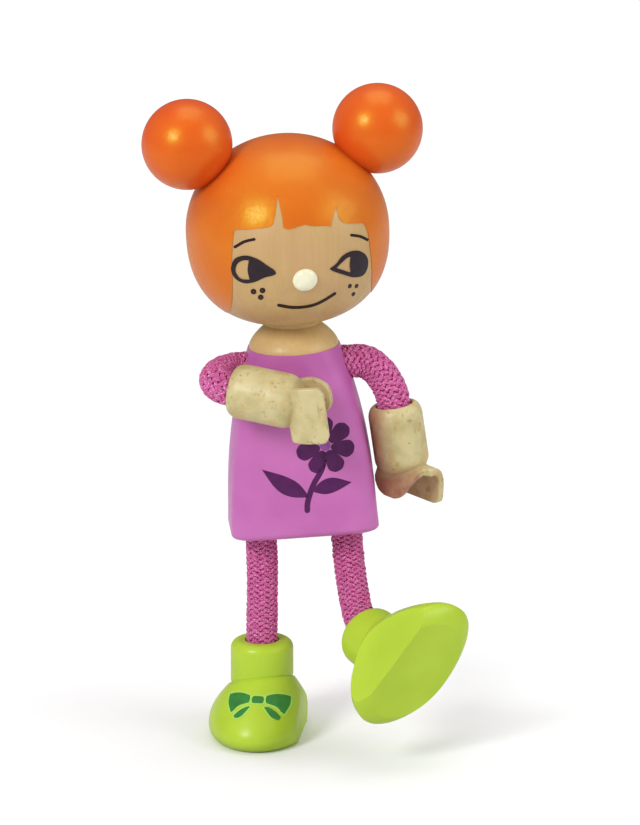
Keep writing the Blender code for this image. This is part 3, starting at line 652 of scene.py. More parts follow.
BOW_INK = printed_ink("bow_ink", srgb(58, 134, 58), srgb(48, 120, 50))
BOW_LINE_INK = printed_ink("bow_line_ink", srgb(172, 222, 92), srgb(164, 214, 84))
YARN = braid_yarn()
CORE = braid_core()
COMPOSITE = hand_composite()
IVORY = turned_ivory()
WIRE = drawn_wire()


# Places of the main pieces

def torso_rotation(turn):
    return Matrix.Rotation(-LEAN, 3, "Y") @ Matrix.Rotation(turn, 3, "Z")


def frame_at(place, rotation):
    return Matrix.Translation(place) @ rotation.to_4x4()


def aimed(axis, side):
    """A rotation with its Z along axis and its X near side."""
    z = axis.normalized()
    y = z.cross(side).normalized()
    return Matrix((y.cross(z), y, z)).transposed()


def foot_rotation(down, toe):
    z = -down.normalized()
    y = -(toe - z * toe.dot(z)).normalized()
    return Matrix((y.cross(z), y, z)).transposed()


def hand_rotation(aim, up):
    x = aim.normalized()
    z = (up - x * up.dot(x)).normalized()
    return Matrix((x, z.cross(x), z)).transposed()


def seat_depth():
    return HEAD_HALF_HEIGHT * math.sqrt(1 - (HEAD_SEAT_RADIUS / HEAD_RADIUS) ** 2)


RIGHT_HIP = Vector((0, 0, SHOE_HEIGHT)) + RIGHT_HIP_FROM_ANKLE
TORSO = frame_at(RIGHT_HIP + torso_rotation(TORSO_TURN) @ Vector((HIP_OFFSET, 0, 0)),
                 torso_rotation(TORSO_TURN))
NECK_HEIGHT = TORSO_HEIGHT + SHOULDER_DOME_HEIGHT
HEAD = frame_at(TORSO @ Vector((0, 0, NECK_HEIGHT + FIT_GAP + seat_depth())), torso_rotation(HEAD_TURN))
RIGHT_SHOE = foot_rotation(Vector((0, 0, -1)), RIGHT_FOOT_TOE).to_4x4()
LEFT_FOOT = foot_rotation(LEFT_FOOT_DOWN, LEFT_FOOT_TOE)
LEFT_CUFF = TORSO @ Vector((HIP_OFFSET, 0, 0)) + LEFT_ANKLE_FROM_HIP
LEFT_SHOE = frame_at(LEFT_CUFF + LEFT_FOOT @ Vector((0, 0, -SHOE_HEIGHT)), LEFT_FOOT)
JOINTS = {joint["name"]: joint for joint in frame["joints"]}


def joint_place(name):
    return Vector(JOINTS[name]["pos_m"])


def joint_axis(name):
    return Vector(JOINTS[name]["axis"]).normalized()


# Painted and printed shapes

def in_mm(points):
    return [(x * MM, z * MM) for x, z in points]


def flowing(points, closed=False, steps=8):
    """A smooth line through points. A point given twice is a corner."""
    count = len(points)
    spans = count if closed else count - 1
    line = []
    for i in range(spans):
        if closed:
            a, b, c, d = (Vector(points[(i + k) % count]) for k in (-1, 0, 1, 2))
        else:
            a, b, c, d = (Vector(points[min(max(i + k, 0), count - 1)]) for k in (-1, 0, 1, 2))
        if (c - b).length < TOUCH:
            continue
        for k in range(steps):
            t = k / steps
            line.append(b + (c - a) * (t / 2) + (a * 2 - b * 5 + c * 4 - d) * (t * t / 2)
                        + (b * 3 - c * 3 + d - a) * (t ** 3 / 2))
    if not closed:
        line.append(Vector(points[-1]))
    return line


def stroke(points, width, steps=8):
    """The outline of a line of even width with round ends."""
    line = flowing(points, steps=steps)
    half = width / 2
    ways = []
    for i in range(len(line)):
        way = (line[min(i + 1, len(line) - 1)] - line[max(i - 1, 0)]).normalized()
        ways.append(Vector((-way.y, way.x)))
    left = [place + across * half for place, across in zip(line, ways)]
    right = [place - across * half for place, across in zip(line, ways)]
    caps = []
    for place, across in ((line[-1], ways[-1]), (line[0], -ways[0])):
        ahead = Vector((across.y, -across.x))
        caps.append([place + across * (half * math.cos(a)) + ahead * (half * math.sin(a))
                     for a in (math.pi * k / 8 for k in range(1, 8))])
    return left + caps[0] + right[::-1] + caps[1]


def edging(outline, width):
    """Two outlines that leave a line of even width along a closed one."""
    rings = []
    for side in (1, -1):
        ring = []
        for k, place in enumerate(outline):
            way = (outline[(k + 1) % len(outline)] - outline[k - 1]).normalized()
            ring.append(place + Vector((way.y, -way.x)) * (side * width / 2))
        rings.append(ring)
    return rings


def spot(x, y, half_x, half_y, steps=20):
    """The outline of a round or oval spot."""
    return [Vector((x + half_x * math.cos(a), y + half_y * math.sin(a)))
            for a in (math.tau * k / steps for k in range(steps))]


def drawn(name, outlines):
    """A flat shape filled between its outlines, in X and Y."""
    bpy.ops.curve.primitive_bezier_circle_add(radius=HEAD_RADIUS)
    drawing = named(name).data
    drawing.dimensions = "2D"
    drawing.fill_mode = "BOTH"
    drawing.splines.clear()
    for outline in outlines:
        spline = drawing.splines.new("POLY")
        spline.points.add(len(outline) - 1)
        for point, place in zip(spline.points, outline):
            point.co = (place.x, place.y, 0, 1)
        spline.use_cyclic_u = True
    only(bpy.context.object)
    bpy.ops.object.convert(target="MESH")
    return bpy.context.object


def printed(name, outlines, plane, ground, finish, lift=PRINT_LIFT, dice=PRINT_DICE):
    """A flat print laid on a rounded piece: filled outlines, diced, pressed on and given body.

    The outlines are drawn in the plane's X and Y, and pressed on along its -Z.
    """
    sheet = drawn(name, outlines)
    open_up(sheet)
    face_outwards(weld=False)
    for axis in (0, 1):
        reach = [point.co[axis] for point in cage().verts]
        low, high = min(reach), max(reach)
        for k in range(1, int((high - low) / dice) + 1):
            where, across = [0, 0, 0], [0, 0, 0]
            where[axis], across[axis] = low + k * dice, 1
            select_whole()
            bpy.ops.mesh.bisect(plane_co=where, plane_no=across)
    select_whole()
    bpy.ops.mesh.remove_doubles(threshold=TOUCH)
    if sum(face.normal.z * face.calc_area() for face in cage().faces) < 0:
        bpy.ops.mesh.flip_normals()
    close_up()
    sheet.matrix_world = plane
    press = sheet.modifiers.new("press", "SHRINKWRAP")
    press.target = ground
    press.wrap_method = "PROJECT"
    press.wrap_mode = "ABOVE_SURFACE"
    press.use_project_z = True
    press.use_negative_direction = True
    press.use_positive_direction = False
    press.offset = lift
    body = sheet.modifiers.new("body", "SOLIDIFY")
    body.thickness = PRINT_THICKNESS
    body.offset = 1
    apply_steps(sheet)
    bpy.ops.object.transform_apply(location=True, rotation=True, scale=True)
    sheet.data.materials.clear()
    sheet.data.materials.append(finish)
    return sheet


def carry(prints, place, body):
    """Move finished prints with the piece that they lie on, and let them ride with it."""
    for one in prints:
        settle(one, place, smooth=PRINT_SMOOTHING)
        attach(one, body)


# Torso, in its painted dress

def half_width(height):
    fall = (TORSO_HEIGHT - height) / TORSO_HEIGHT
    return NECKLINE_RADIUS + (HEM_HALF_WIDTH - NECKLINE_RADIUS) * (1 - (1 - fall) ** FLARE_POWER)


def half_depth(height):
    return TORSO_HALF_DEPTH + (NECKLINE_RADIUS - TORSO_HALF_DEPTH) * height / TORSO_HEIGHT


def paint_line():
    """How high the dress's paint reaches."""
    return TORSO_HEIGHT - PAINT_EDGE_DROP


def carve_dress():
    """The body below the neckline, carved from a rounded slab that becomes round upwards."""
    bpy.ops.mesh.primitive_plane_add(size=2 * HEM_HALF_WIDTH, location=(0, 0, HEM_LIFT))
    dress = named("dress")
    open_up(dress)
    bpy.ops.mesh.bevel(offset=CORNER_SHARE * HEM_HALF_WIDTH, segments=CORNER_STEPS, affect="VERTICES")
    bpy.ops.mesh.delete(type="ONLY_FACE")
    choose(lambda at: min(abs(at.x), abs(at.y)) < FIT_GAP, "EDGE")
    bpy.ops.mesh.subdivide(number_cuts=SIDE_CUTS)
    select_whole()
    fit_ring(HEM_HALF_WIDTH - HEM_ROUNDING, TORSO_HALF_DEPTH - HEM_ROUNDING)
    stations = []
    for i in range(1, HEM_STEPS + 1):
        angle = math.pi / 2 * i / HEM_STEPS
        stations.append((HEM_ROUNDING * (1 - math.cos(angle)), HEM_ROUNDING * (1 - math.sin(angle))))
    for i in range(1, DRESS_RINGS + 1):
        stations.append((HEM_ROUNDING + (paint_line() - HEM_ROUNDING) * i / DRESS_RINGS, 0.0))
    height, roundness = 0.0, 0.0
    for level, inset in stations:
        draw_out((0, 0, level - height))
        height = level
        share = max(0.0, 1 - level / TORSO_HEIGHT)
        rounder = 1 - share ** CORNER_POWER if inset == 0 else 0.0
        if rounder > roundness:
            fit_ring(HEM_HALF_WIDTH, HEM_HALF_WIDTH)
            bpy.ops.transform.tosphere(value=1 - (1 - rounder) / (1 - roundness))
            roundness = rounder
        fit_ring(half_width(level) - inset, half_depth(level) - inset)
    bpy.ops.mesh.edge_face_add()
    choose(lambda at: at.z < TOUCH)
    bpy.ops.mesh.edge_face_add()
    face_outwards()
    close_up()
    return dress


def bore(name, radius, length, place):
    """A round cutter about Z, with its base at the place."""
    bpy.ops.mesh.primitive_cylinder_add(vertices=64, radius=radius, depth=length,
                                        location=(0, 0, length / 2))
    cutter = named(name)
    only(cutter)
    bpy.ops.object.transform_apply(location=True)
    cutter.matrix_world = place
    return cutter


def arm_bore(name):
    """A cutter through both shoulders."""
    across = (Matrix.Translation((-HEM_HALF_WIDTH, 0, SHOULDER_HEIGHT))
              @ Matrix.Rotation(math.pi / 2, 4, "Y"))
    return bore(name, ARM_HOLE, 2 * HEM_HALF_WIDTH, across)


def make_dress():
    dress = carve_dress()
    cutters = [arm_bore("arm_bore")]
    for name, offset in (("right_leg_bore", -HIP_OFFSET), ("left_leg_bore", HIP_OFFSET)):
        base = Matrix.Translation((offset, 0, -FIT_GAP))
        cutters.append(bore(name, LEG_HOLE, LEG_BORE_DEPTH + FIT_GAP, base))
    cut_away(dress, *cutters)
    prints = make_motif(dress)
    settle(dress, TORSO)
    hang_on(dress, "torso", "dress_paint", DRESS, "torso")
    carry(prints, TORSO, "torso")


def make_shoulders():
    """The bare dome above the dress, a step of the paint's thickness inside it."""
    base = paint_line()
    profile = [(0, base - FIT_GAP), (NECKLINE_RADIUS - 2 * PAINT_STEP, base - FIT_GAP),
               (NECKLINE_RADIUS - PAINT_STEP, base)]
    for i in range(DOME_STEPS + 1):
        share = i / DOME_STEPS
        fall = min(1, share / DOME_SHARE) ** DOME_POWER
        radius = NECKLINE_RADIUS - (NECKLINE_RADIUS - NECK_TOP_RADIUS) * fall
        profile.append((radius - PAINT_STEP * (1 - share), TORSO_HEIGHT + SHOULDER_DOME_HEIGHT * share))
    profile.append((0, NECK_HEIGHT))
    shoulders = turned("neck_and_shoulders", profile, 72)
    cut_away(shoulders, arm_bore("neck_bore"))
    settle(shoulders, TORSO)
    hang_on(shoulders, "torso", "pale_wood", NECK_WOOD)


# The dress's printed flower, in mm of the torso's X and Z where points are listed

FLOWER_MIDDLE = Vector((0.0046, 0.0190))
PETAL_LENGTH = 0.0058
PETAL_START = 0.0013
PETAL_HALF_WIDTH = 0.0017
PETAL_SHARES = ((0.0, 0.30), (0.35, 0.80), (0.72, 1.0), (0.95, 0.55))
PETALS = 7
HEART_RADIUS = 0.0010
STEM_WIDTH = 0.0011
STEM = ((4.6, 17.2), (3.6, 14.2), (1.8, 11.2), (0.6, 8.0), (0.4, 6.2))
RIGHT_LEAF = ((1.0, 8.8), (-8.0, 15.0))
RIGHT_LEAF_BULGE = 0.0021
LEFT_LEAF = ((1.4, 10.0), (9.4, 11.2))
LEFT_LEAF_BULGE = 0.0019


def petal(angle):
    """A rounded petal that points away from the flower's middle."""
    out = Vector((math.cos(angle), math.sin(angle)))
    side = Vector((-out.y, out.x))
    edges = []
    for sign in (1, -1):
        edges.append([FLOWER_MIDDLE + out * (PETAL_START + (PETAL_LENGTH - PETAL_START) * a)
                      + side * (sign * PETAL_HALF_WIDTH * b) for a, b in PETAL_SHARES])
    tip = FLOWER_MIDDLE + out * PETAL_LENGTH
    return flowing(edges[0] + [tip] + edges[1][::-1], closed=True, steps=5)


def leaf(ends, bulge):
    """A pointed leaf from root to tip, fuller on both sides of its middle line."""
    root, tip = (Vector(end) for end in in_mm(ends))
    along = tip - root
    side = Vector((-along.y, along.x)).normalized()
    upper = [root + along * a + side * (bulge * b) for a, b in ((0.3, 0.85), (0.6, 0.9))]
    lower = [root + along * a - side * (bulge * b) for a, b in ((0.6, 0.55), (0.3, 0.6))]
    return flowing([root, root, *upper, tip, tip, *lower], closed=True, steps=6)


def make_motif(dress):
    """A plain flower on a bent stem with two leaves, in the size and colour of the dress's print."""
    plane = Matrix.Translation((0, -HEM_HALF_WIDTH, 0)) @ Matrix.Rotation(math.pi / 2, 4, "X")
    shapes = [
        ("dress_stem", stroke(in_mm(STEM), STEM_WIDTH)),
        ("dress_leaf_right", leaf(RIGHT_LEAF, RIGHT_LEAF_BULGE)),
        ("dress_leaf_left", leaf(LEFT_LEAF, LEFT_LEAF_BULGE)),
        ("dress_flower_heart", spot(FLOWER_MIDDLE.x, FLOWER_MIDDLE.y, HEART_RADIUS, HEART_RADIUS)),
    ]
    for k in range(PETALS):
        shapes.append((f"dress_petal_{k + 1}", petal(math.pi / 2 + math.tau * k / PETALS)))
    prints = []
    for name, outline in shapes:
        finish = MOTIF_PALE_INK if name == "dress_flower_heart" else MOTIF_INK
        prints.append(printed(name, [outline], plane, dress, finish))
    return prints


# Head, hair, buns and nose

# The face window's outline in mm of the head's X and Z: the side edges, and the fringe's
# three locks with a notch between each two
HAIR_WINDOW = (
    (-13.7, -20.0), (-13.4, -15.0), (-13.3, -12.5), (-13.3, -10.0), (-13.3, -6.0),
    (-13.3, -2.0), (-13.0, 1.4), (-12.6, 3.7),
    (-12.6, 3.7), (-12.2, 4.1), (-9.5, 4.4), (-6.8, 4.7), (-5.6, 5.2),
    (-5.0, 6.6), (-4.4, 8.8), (-4.0, 10.4),
    (-4.0, 10.4), (-3.8, 8.5), (-3.6, 6.4), (-3.6, 4.6),
    (-3.6, 4.6), (-2.4, 4.3), (0.4, 4.9), (2.0, 4.5), (4.4, 4.3),
    (5.6, 4.0),
    (5.6, 4.0), (6.1, 5.2), (6.6, 6.4), (7.1, 7.4),
    (7.1, 7.4), (7.3, 6.0), (7.7, 4.8), (8.6, 4.1), (10.5, 3.7),
    (12.6, 3.3),
    (12.6, 3.3), (13.4, 1.0), (13.8, -3.0), (14.1, -6.5), (14.3, -9.8),
    (14.9, -12.6), (15.7, -15.0), (16.6, -20.0))


def egg(name, grow):
    """The head's turned oval with fuller cheeks below its middle, larger by grow all over."""
    profile = []
    for i in range(HEAD_RINGS + 1):
        angle = math.pi * (i / HEAD_RINGS - 0.5)
        out, up = math.cos(angle), math.sin(angle)
        if up < 0:
            full = (out ** CHEEK_FULLNESS + (-up) ** CHEEK_FULLNESS) ** (-1 / CHEEK_FULLNESS)
            out, up = out * full, up * full
        ends = i in (0, HEAD_RINGS)
        profile.append((0 if ends else out * (HEAD_RADIUS + grow), up * (HEAD_HALF_HEIGHT + grow)))
    return turned(name, profile, 112)


def trim_below(piece, height):
    """Saw a piece off flat below a height."""
    open_up(piece)
    select_whole()
    bpy.ops.mesh.bisect(plane_co=(0, 0, height), plane_no=(0, 0, 1), use_fill=True, clear_inner=True)
    close_up()


def window_cutter():
    """A block with the outline of the face window, through the front of the head."""
    cutter = drawn("face_window", [flowing(in_mm(HAIR_WINDOW), closed=True, steps=4)])
    open_up(cutter)
    select_whole()
    draw_out((0, 0, 1.2 * HEAD_RADIUS))
    face_outwards(weld=False)
    close_up()
    cutter.matrix_world = Matrix.Rotation(math.pi / 2, 4, "X")
    return cutter


def bun_frame(side):
    way = Vector((side * math.cos(BUN_RISE), 0, math.sin(BUN_RISE)))
    surface = 1 / math.hypot(way.x / HEAD_RADIUS, way.z / HEAD_HALF_HEIGHT)
    return frame_at(way * (surface + BUN_RADIUS - BUN_SINK), aimed(way, Vector((0, 1, 0))))


def make_head():
    wood = egg("face", 0.0)
    trim_below(wood, -seat_depth())
    hair = egg("hair", HAIR_THICKNESS)
    trim_below(hair, -HAIR_BOTTOM)
    cut_away(hair, window_cutter())
    prints = make_face(wood)
    settle(wood, HEAD)
    hang_on(wood, "head", "pale_wood", FACE_WOOD, "head")
    settle(hair, HEAD)
    hang_on(hair, "head", "hair_paint", HAIR)
    carry(prints, HEAD, "head")


def make_buns():
    """Two balls, each with a flat where it sits in the head."""
    bpy.ops.mesh.primitive_uv_sphere_add(segments=80, ring_count=48, radius=BUN_RADIUS)
    ball = named("right_bun_ball")
    trim_below(ball, BUN_SINK / 2 - BUN_RADIUS)
    other = twin(ball, "left_bun_ball")
    for piece, side, node in ((ball, -1, "right_bun"), (other, 1, "left_bun")):
        settle(piece, HEAD @ bun_frame(side))
        hang_on(piece, "head", "hair_paint", BUN, node)


def make_nose():
    face = -HEAD_RADIUS * math.sqrt(1 - (NOSE_DROP / HEAD_HALF_HEIGHT) ** 2)
    slope = Vector((0, face / HEAD_RADIUS ** 2, -NOSE_DROP / HEAD_HALF_HEIGHT ** 2))
    place = HEAD @ frame_at(Vector((0, face, -NOSE_DROP)), aimed(slope, Vector((1, 0, 0))))
    profile = [(0, -FIT_GAP), (NOSE_RADIUS * 0.94, -FIT_GAP), (NOSE_RADIUS, FIT_GAP)]
    profile += arc(0, FIT_GAP, NOSE_RADIUS, NOSE_STANDOUT, 6, 84, 12)
    profile.append((0, FIT_GAP + NOSE_STANDOUT))
    button = settle(turned("nose_button", profile, 64), place)
    hang_on(button, "head", "ivory", IVORY, "nose")


# The printed face. Outlines and places are in mm of the head's X and Z

FACE_LIFT = 0.0002
BROW_LINE = 0.00052
MOUTH_LINE = 0.00072

# Each eye's outline and the part inside it that shows the wood
RIGHT_EYE = ((-13.4, -3.8), (-12.7, -1.7), (-10.8, -0.9), (-8.7, -1.5), (-6.8, -2.9), (-5.7, -3.8),
             (-5.7, -4.6), (-7.6, -5.2), (-9.3, -6.1), (-11.2, -6.5), (-12.8, -5.6))
RIGHT_EYE_WOOD = ((-12.7, -3.9), (-12.2, -2.5), (-11.2, -1.85), (-10.25, -1.8), (-10.25, -1.8),
                  (-10.55, -3.8), (-10.25, -5.7), (-10.25, -5.7), (-11.5, -5.7), (-12.3, -5.1))
LEFT_EYE = ((5.0, -4.3), (6.2, -3.6), (7.5, -2.3), (9.3, -1.7), (11.3, -2.1), (12.8, -3.6), (13.0, -5.6),
            (12.0, -7.2), (9.9, -7.1), (7.6, -6.0), (5.5, -4.9))
LEFT_EYE_WOOD = ((6.2, -4.4), (6.2, -4.4), (7.3, -3.6), (8.4, -2.9), (9.3, -2.65), (9.3, -2.65),
                 (9.05, -4.3), (9.2, -6.0), (9.2, -6.0), (7.7, -5.15))
RIGHT_BROW = ((-12.6, 0.6), (-10.9, 1.75), (-9.1, 2.3))
LEFT_BROW = ((9.7, 1.4), (11.6, 0.7), (13.2, -0.4))
SMILE = ((-4.9, -11.25), (-1.7, -11.95), (2.1, -11.65), (5.9, -9.85))

# Each freckle's place and its size beside the largest
FRECKLES = ((-9.6, -8.25, 1.0), (-8.0, -7.95, 1.0), (-8.3, -9.45, 1.0),
            (9.1, -8.85, 0.82), (10.6, -9.25, 0.82), (10.0, -10.95, 0.82))


def make_face(wood):
    """Eyes that look to the doll's left, brows, freckles and a lopsided smile."""
    plane = (Matrix.Translation((0, -1.2 * HEAD_RADIUS, FACE_LIFT))
             @ Matrix.Rotation(math.pi / 2, 4, "X"))
    prints = []

    def ink(name, outlines, finish, **more):
        prints.append(printed(name, outlines, plane, wood, finish, dice=FACE_DICE, **more))

    for name, outer, wooden in (("right_eye", RIGHT_EYE, RIGHT_EYE_WOOD),
                                ("left_eye", LEFT_EYE, LEFT_EYE_WOOD)):
        ink(name, [flowing(in_mm(line), True, 6) for line in (outer, wooden)], PUPIL_INK,
            lift=1.2 * HAIR_THICKNESS)
    for name, line, width in (("right_brow", RIGHT_BROW, BROW_LINE), ("left_brow", LEFT_BROW, BROW_LINE),
                              ("mouth", SMILE, MOUTH_LINE)):
        ink(name, [stroke(in_mm(line), width, 12)], INK)
    for k, (x, z, size) in enumerate(FRECKLES):
        half = FRECKLE_HALF_WIDTH * size
        ink(f"freckle_{k + 1}", [spot(x * MM, z * MM, half, half * 1.15)], INK)
        ink(f"freckle_heart_{k + 1}", [spot(x * MM, z * MM, half * 0.28, half * 0.32, 12)],
            FRECKLE_INK, lift=FRECKLE_HEART_LIFT)
    return prints


# Braided cords

class Route:
    """The middle line of a limb's cord: one smooth bend between two straight ends."""

    def __init__(self, start, start_way, start_bend, end, end_way, end_bend, side):
        self.start, self.end = start, end
        self.start_way, self.end_way = start_way.normalized(), end_way.normalized()
        self.side = side.normalized()
        self.handles = (start, start + self.start_way * start_bend,
                        end - self.end_way * end_bend, end)
        self.samples = 240
        self.points = [self.curve(i / self.samples) for i in range(self.samples + 1)]
        self.lengths = [0.0]
        for near, far in zip(self.points, self.points[1:]):
            self.lengths.append(self.lengths[-1] + (far - near).length)
        self.length = self.lengths[-1]

    def curve(self, t):
        a, b, c, d = self.handles
        u = 1 - t
        return a * u ** 3 + b * (3 * u * u * t) + c * (3 * u * t * t) + d * t ** 3

    def way(self, i):
        if i == 0:
            return self.start_way
        if i == self.samples:
            return self.end_way
        return (self.points[i + 1] - self.points[i - 1]).normalized()

    def at(self, along):
        if along <= 0:
            return self.start + self.start_way * along, self.start_way
        if along >= self.length:
            return self.end + self.end_way * (along - self.length), self.end_way
        i = next(k for k, reached in enumerate(self.lengths) if reached >= along)
        near, far = self.points[i - 1], self.points[i]
        share = (along - self.lengths[i - 1]) / (self.lengths[i] - self.lengths[i - 1])
        return near.lerp(far, share), self.way(i - 1).lerp(self.way(i), share).normalized()

    def station(self, along):
        """The place, and the two directions across the cord."""
        place, way = self.at(along)
        axis = (self.side - way * self.side.dot(way)).normalized()
        return place, axis.cross(way), axis


def over_or_under(level):
    """A yarn's height as it passes over two others and under two: flat with quick changes."""
    wave = math.cos(math.pi / 2 * level)
    return math.tanh(PASS_SHARPNESS * wave) / math.tanh(PASS_SHARPNESS)


class Braid:
    """The points and faces of a stretch of braid, tube by tube along its stations."""

    def __init__(self, route, alongs):
        self.alongs = alongs
        self.stations = [route.station(along) for along in alongs]
        self.points, self.crowns = [], []
        self.faces, self.maps, self.finishes = [], [], []

    def put(self, station, angle, reach, crown):
        """A point beside a station of the cord's middle line."""
        place, out, axis = station
        self.points.append(place + (out * math.cos(angle) + axis * math.sin(angle)) * reach)
        self.crowns.append(crown)

    def skin(self, width, finish, strand):
        """Faces round the tube of points that was put last, and over its two ends."""
        rows = len(self.stations)
        base = len(self.points) - rows * width
        turns = [math.tau * (k % YARN_SIDES + 0.5) / YARN_SIDES for k in range(width)]
        asides = [strand + 0.5 + MAP_HALF_WIDTH * math.cos(turn) for turn in turns]
        heights = [along * MAP_PER_METRE for along in self.alongs]
        for r in range(rows - 1):
            low, high = heights[r], heights[r + 1]
            for k in range(width):
                j = (k + 1) % width
                a, b = base + r * width, base + (r + 1) * width
                self.add((a + k, a + j, b + j, b + k), finish,
                         ((asides[k], low), (asides[j], low), (asides[j], high), (asides[k], high)))
        for r, turn in ((0, -1), (rows - 1, 1)):
            ring = [base + r * width + k for k in range(width)]
            self.add(tuple(ring[::turn]), finish, ((strand + 0.5, heights[r]),) * width)

    def add(self, face, finish, corners):
        self.faces.append(face)
        self.finishes.append(finish)
        self.maps.append(corners)

    def finished(self, name):
        """The piece, with its yarn map, its crowns and the finishes of yarn and core."""
        mesh = bpy.data.meshes.new(name)
        mesh.from_pydata(self.points, [], self.faces)
        layer = mesh.uv_layers.new(name="yarn")
        layer.data.foreach_set("uv", [value for face in self.maps for pair in face for value in pair])
        crown = mesh.attributes.new("crown", "FLOAT", "POINT")
        crown.data.foreach_set("value", self.crowns)
        mesh.materials.append(YARN)
        mesh.materials.append(CORE)
        mesh.polygons.foreach_set("material_index", self.finishes)
        piece = bpy.data.objects.new(name, mesh)
        bpy.context.scene.collection.objects.link(piece)
        open_up(piece)
        face_outwards(weld=False)
        close_up()
        only(piece)
        bpy.ops.object.shade_smooth_by_angle(angle=math.radians(BRAID_SMOOTHING))
        return piece


def braided(name, route, start, end, radius):
    """One stretch of braid: yarns that wind both ways, over two and under two, on a dark core."""
    steps = max(2, round((end - start) / BRAID_STEP))
    braid = Braid(route, [start + (end - start) * k / steps for k in range(steps + 1)])
    middle_radius = radius - YARN_THICKNESS
    twist = math.tan(BRAID_ANGLE) / middle_radius
    yarn_half = math.pi / CARRIERS * YARN_OVERLAP
    section = [(math.cos(a), math.sin(a))
               for a in (math.tau * (k + 0.5) / YARN_SIDES for k in range(YARN_SIDES))]
    for way in (1, -1):
        for carrier in range(CARRIERS):
            own = carrier * STRAY_STEP + way
            for along, station in zip(braid.alongs, braid.stations):
                pass_by = twist * along * CARRIERS / math.pi
                middle = math.tau * carrier / CARRIERS + way * twist * along
                height = way * over_or_under(2 * carrier + way * pass_by - 0.5)
                stray = math.sin(STRAY_QUICK * along + own) * math.sin(STRAY_SLOW * along + 2 * own)
                here = middle_radius + YARN_THICKNESS * (0.5 * height + STRAY_SHARE * stray)
                middle += STRAY_SHARE * yarn_half * math.sin(STRAY_ASIDE * along + 3 * own)
                for across, up in section:
                    crown = 0.5 + CROWN_BY_PASS * height + CROWN_BY_SECTION * up
                    braid.put(station, middle + yarn_half * across, here + YARN_THICKNESS / 2 * up,
                              min(1.0, max(0.0, crown)))
            braid.skin(YARN_SIDES, 0, (way + 1) * WAY_STRANDS + carrier)
    for station in braid.stations:
        for k in range(CORE_SIDES):
            braid.put(station, math.tau * k / CORE_SIDES, radius - 2 * YARN_THICKNESS, 0.0)
    braid.skin(CORE_SIDES, 1, CORE_STRAND)
    return braid.finished(name)


def make_limb(side, kind, stretches, bends, hand_way, side_way, radius, shift=Vector()):
    """A limb in three stretches of braid along one route."""
    root, upper, lower, tip = (f"{side}_{name}" for name in stretches)
    start, start_way = joint_place(f"{root}_swivel"), joint_axis(f"{root}_swivel")
    end = joint_place(f"{tip}_bend") + shift
    route = Route(start, start_way, bends[0], end, hand_way, bends[1], side_way)
    quarter = route.length / 4
    plan = (
        (f"{root}_braid", root, upper, -CORD_HIDDEN, quarter, 0.0,
         (f"{root}_cord",)),
        (f"{side}_{kind}_braid", upper, lower, quarter, 3 * quarter, 2 * quarter,
         (f"{upper}_cord", f"{lower}_cord")),
        (f"{tip}_braid", lower, tip, 3 * quarter, route.length + CORD_HIDDEN, route.length,
         (f"{tip}_cord",)),
    )
    for name, before, after, low, high, bend, nodes in plan:
        piece = braided(name, route, low, high, radius + BRAID_FULLNESS)
        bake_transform(piece)
        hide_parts(*nodes)


# Hands

def cuff_profile():
    lip = ARM_HOLE + CUFF_LIP
    profile = [(0, -CUFF_LENGTH)]
    for i in range(1, CUFF_STEPS + 1):
        angle = math.pi / 2 * i / CUFF_STEPS
        profile.append((CUFF_RADIUS * math.sin(angle), -(CUFF_LENGTH - CUFF_DOME * (1 - math.cos(angle)))))
    profile.append((CUFF_RADIUS, -CUFF_LENGTH / 2))
    profile += arc(lip, CUFF_MOUTH_OUT - CUFF_RIM_REACH, CUFF_RADIUS - lip, CUFF_RIM_REACH,
                   0, 90, CUFF_STEPS)
    profile += [(ARM_HOLE, CUFF_MOUTH_OUT - CUFF_LIP), (ARM_HOLE, -CUFF_HOLE_DEPTH),
                (0, -CUFF_HOLE_DEPTH)]
    return profile


def grip_stations(thumb_tip):
    """The middle line of the grip's wall from the fingers' tip round to the thumb's."""
    stations = []
    for side, tip in ((-1, FINGER_TIP), (1, thumb_tip)):
        part = []
        for i in range(GRIP_STEPS):
            turn = math.pi / 2 * i / GRIP_STEPS
            part.append((tip - (tip + GRIP_REACH) * math.sin(turn), side))
        stations += part + [(-GRIP_REACH, -1)] if side < 0 else part[::-1]
    return stations


def grip_middle(x, side):
    share = min(1.0, abs(x) / GRIP_REACH)
    height = GRIP_HALF_GAP * (1 - share ** GRIP_SQUARENESS) ** (1 / GRIP_SQUARENESS)
    return Vector((GRIP_CENTRE + x, side * height, 0))


def grip_widths(x, side, thumb_tip):
    if side < 0:
        cut = max(0.0, FINGER_CORNER - (FINGER_TIP - x))
        rounding = FINGER_CORNER - math.sqrt(max(0.0, FINGER_CORNER ** 2 - cut ** 2))
        half = FINGER_HALF_WIDTH - rounding
        return -half - FINGER_SHIFT, half - FINGER_SHIFT
    share = (x + GRIP_REACH) / (thumb_tip + GRIP_REACH)
    taper = math.sqrt(max(0.0, 1 - share ** THUMB_TAPER_POWER))
    half = THUMB_TIP_HALF_WIDTH + (THUMB_ROOT_HALF_WIDTH - THUMB_TIP_HALF_WIDTH) * taper
    shift = THUMB_SHIFT * min(1.0, 2 * share)
    return shift - half, shift + half


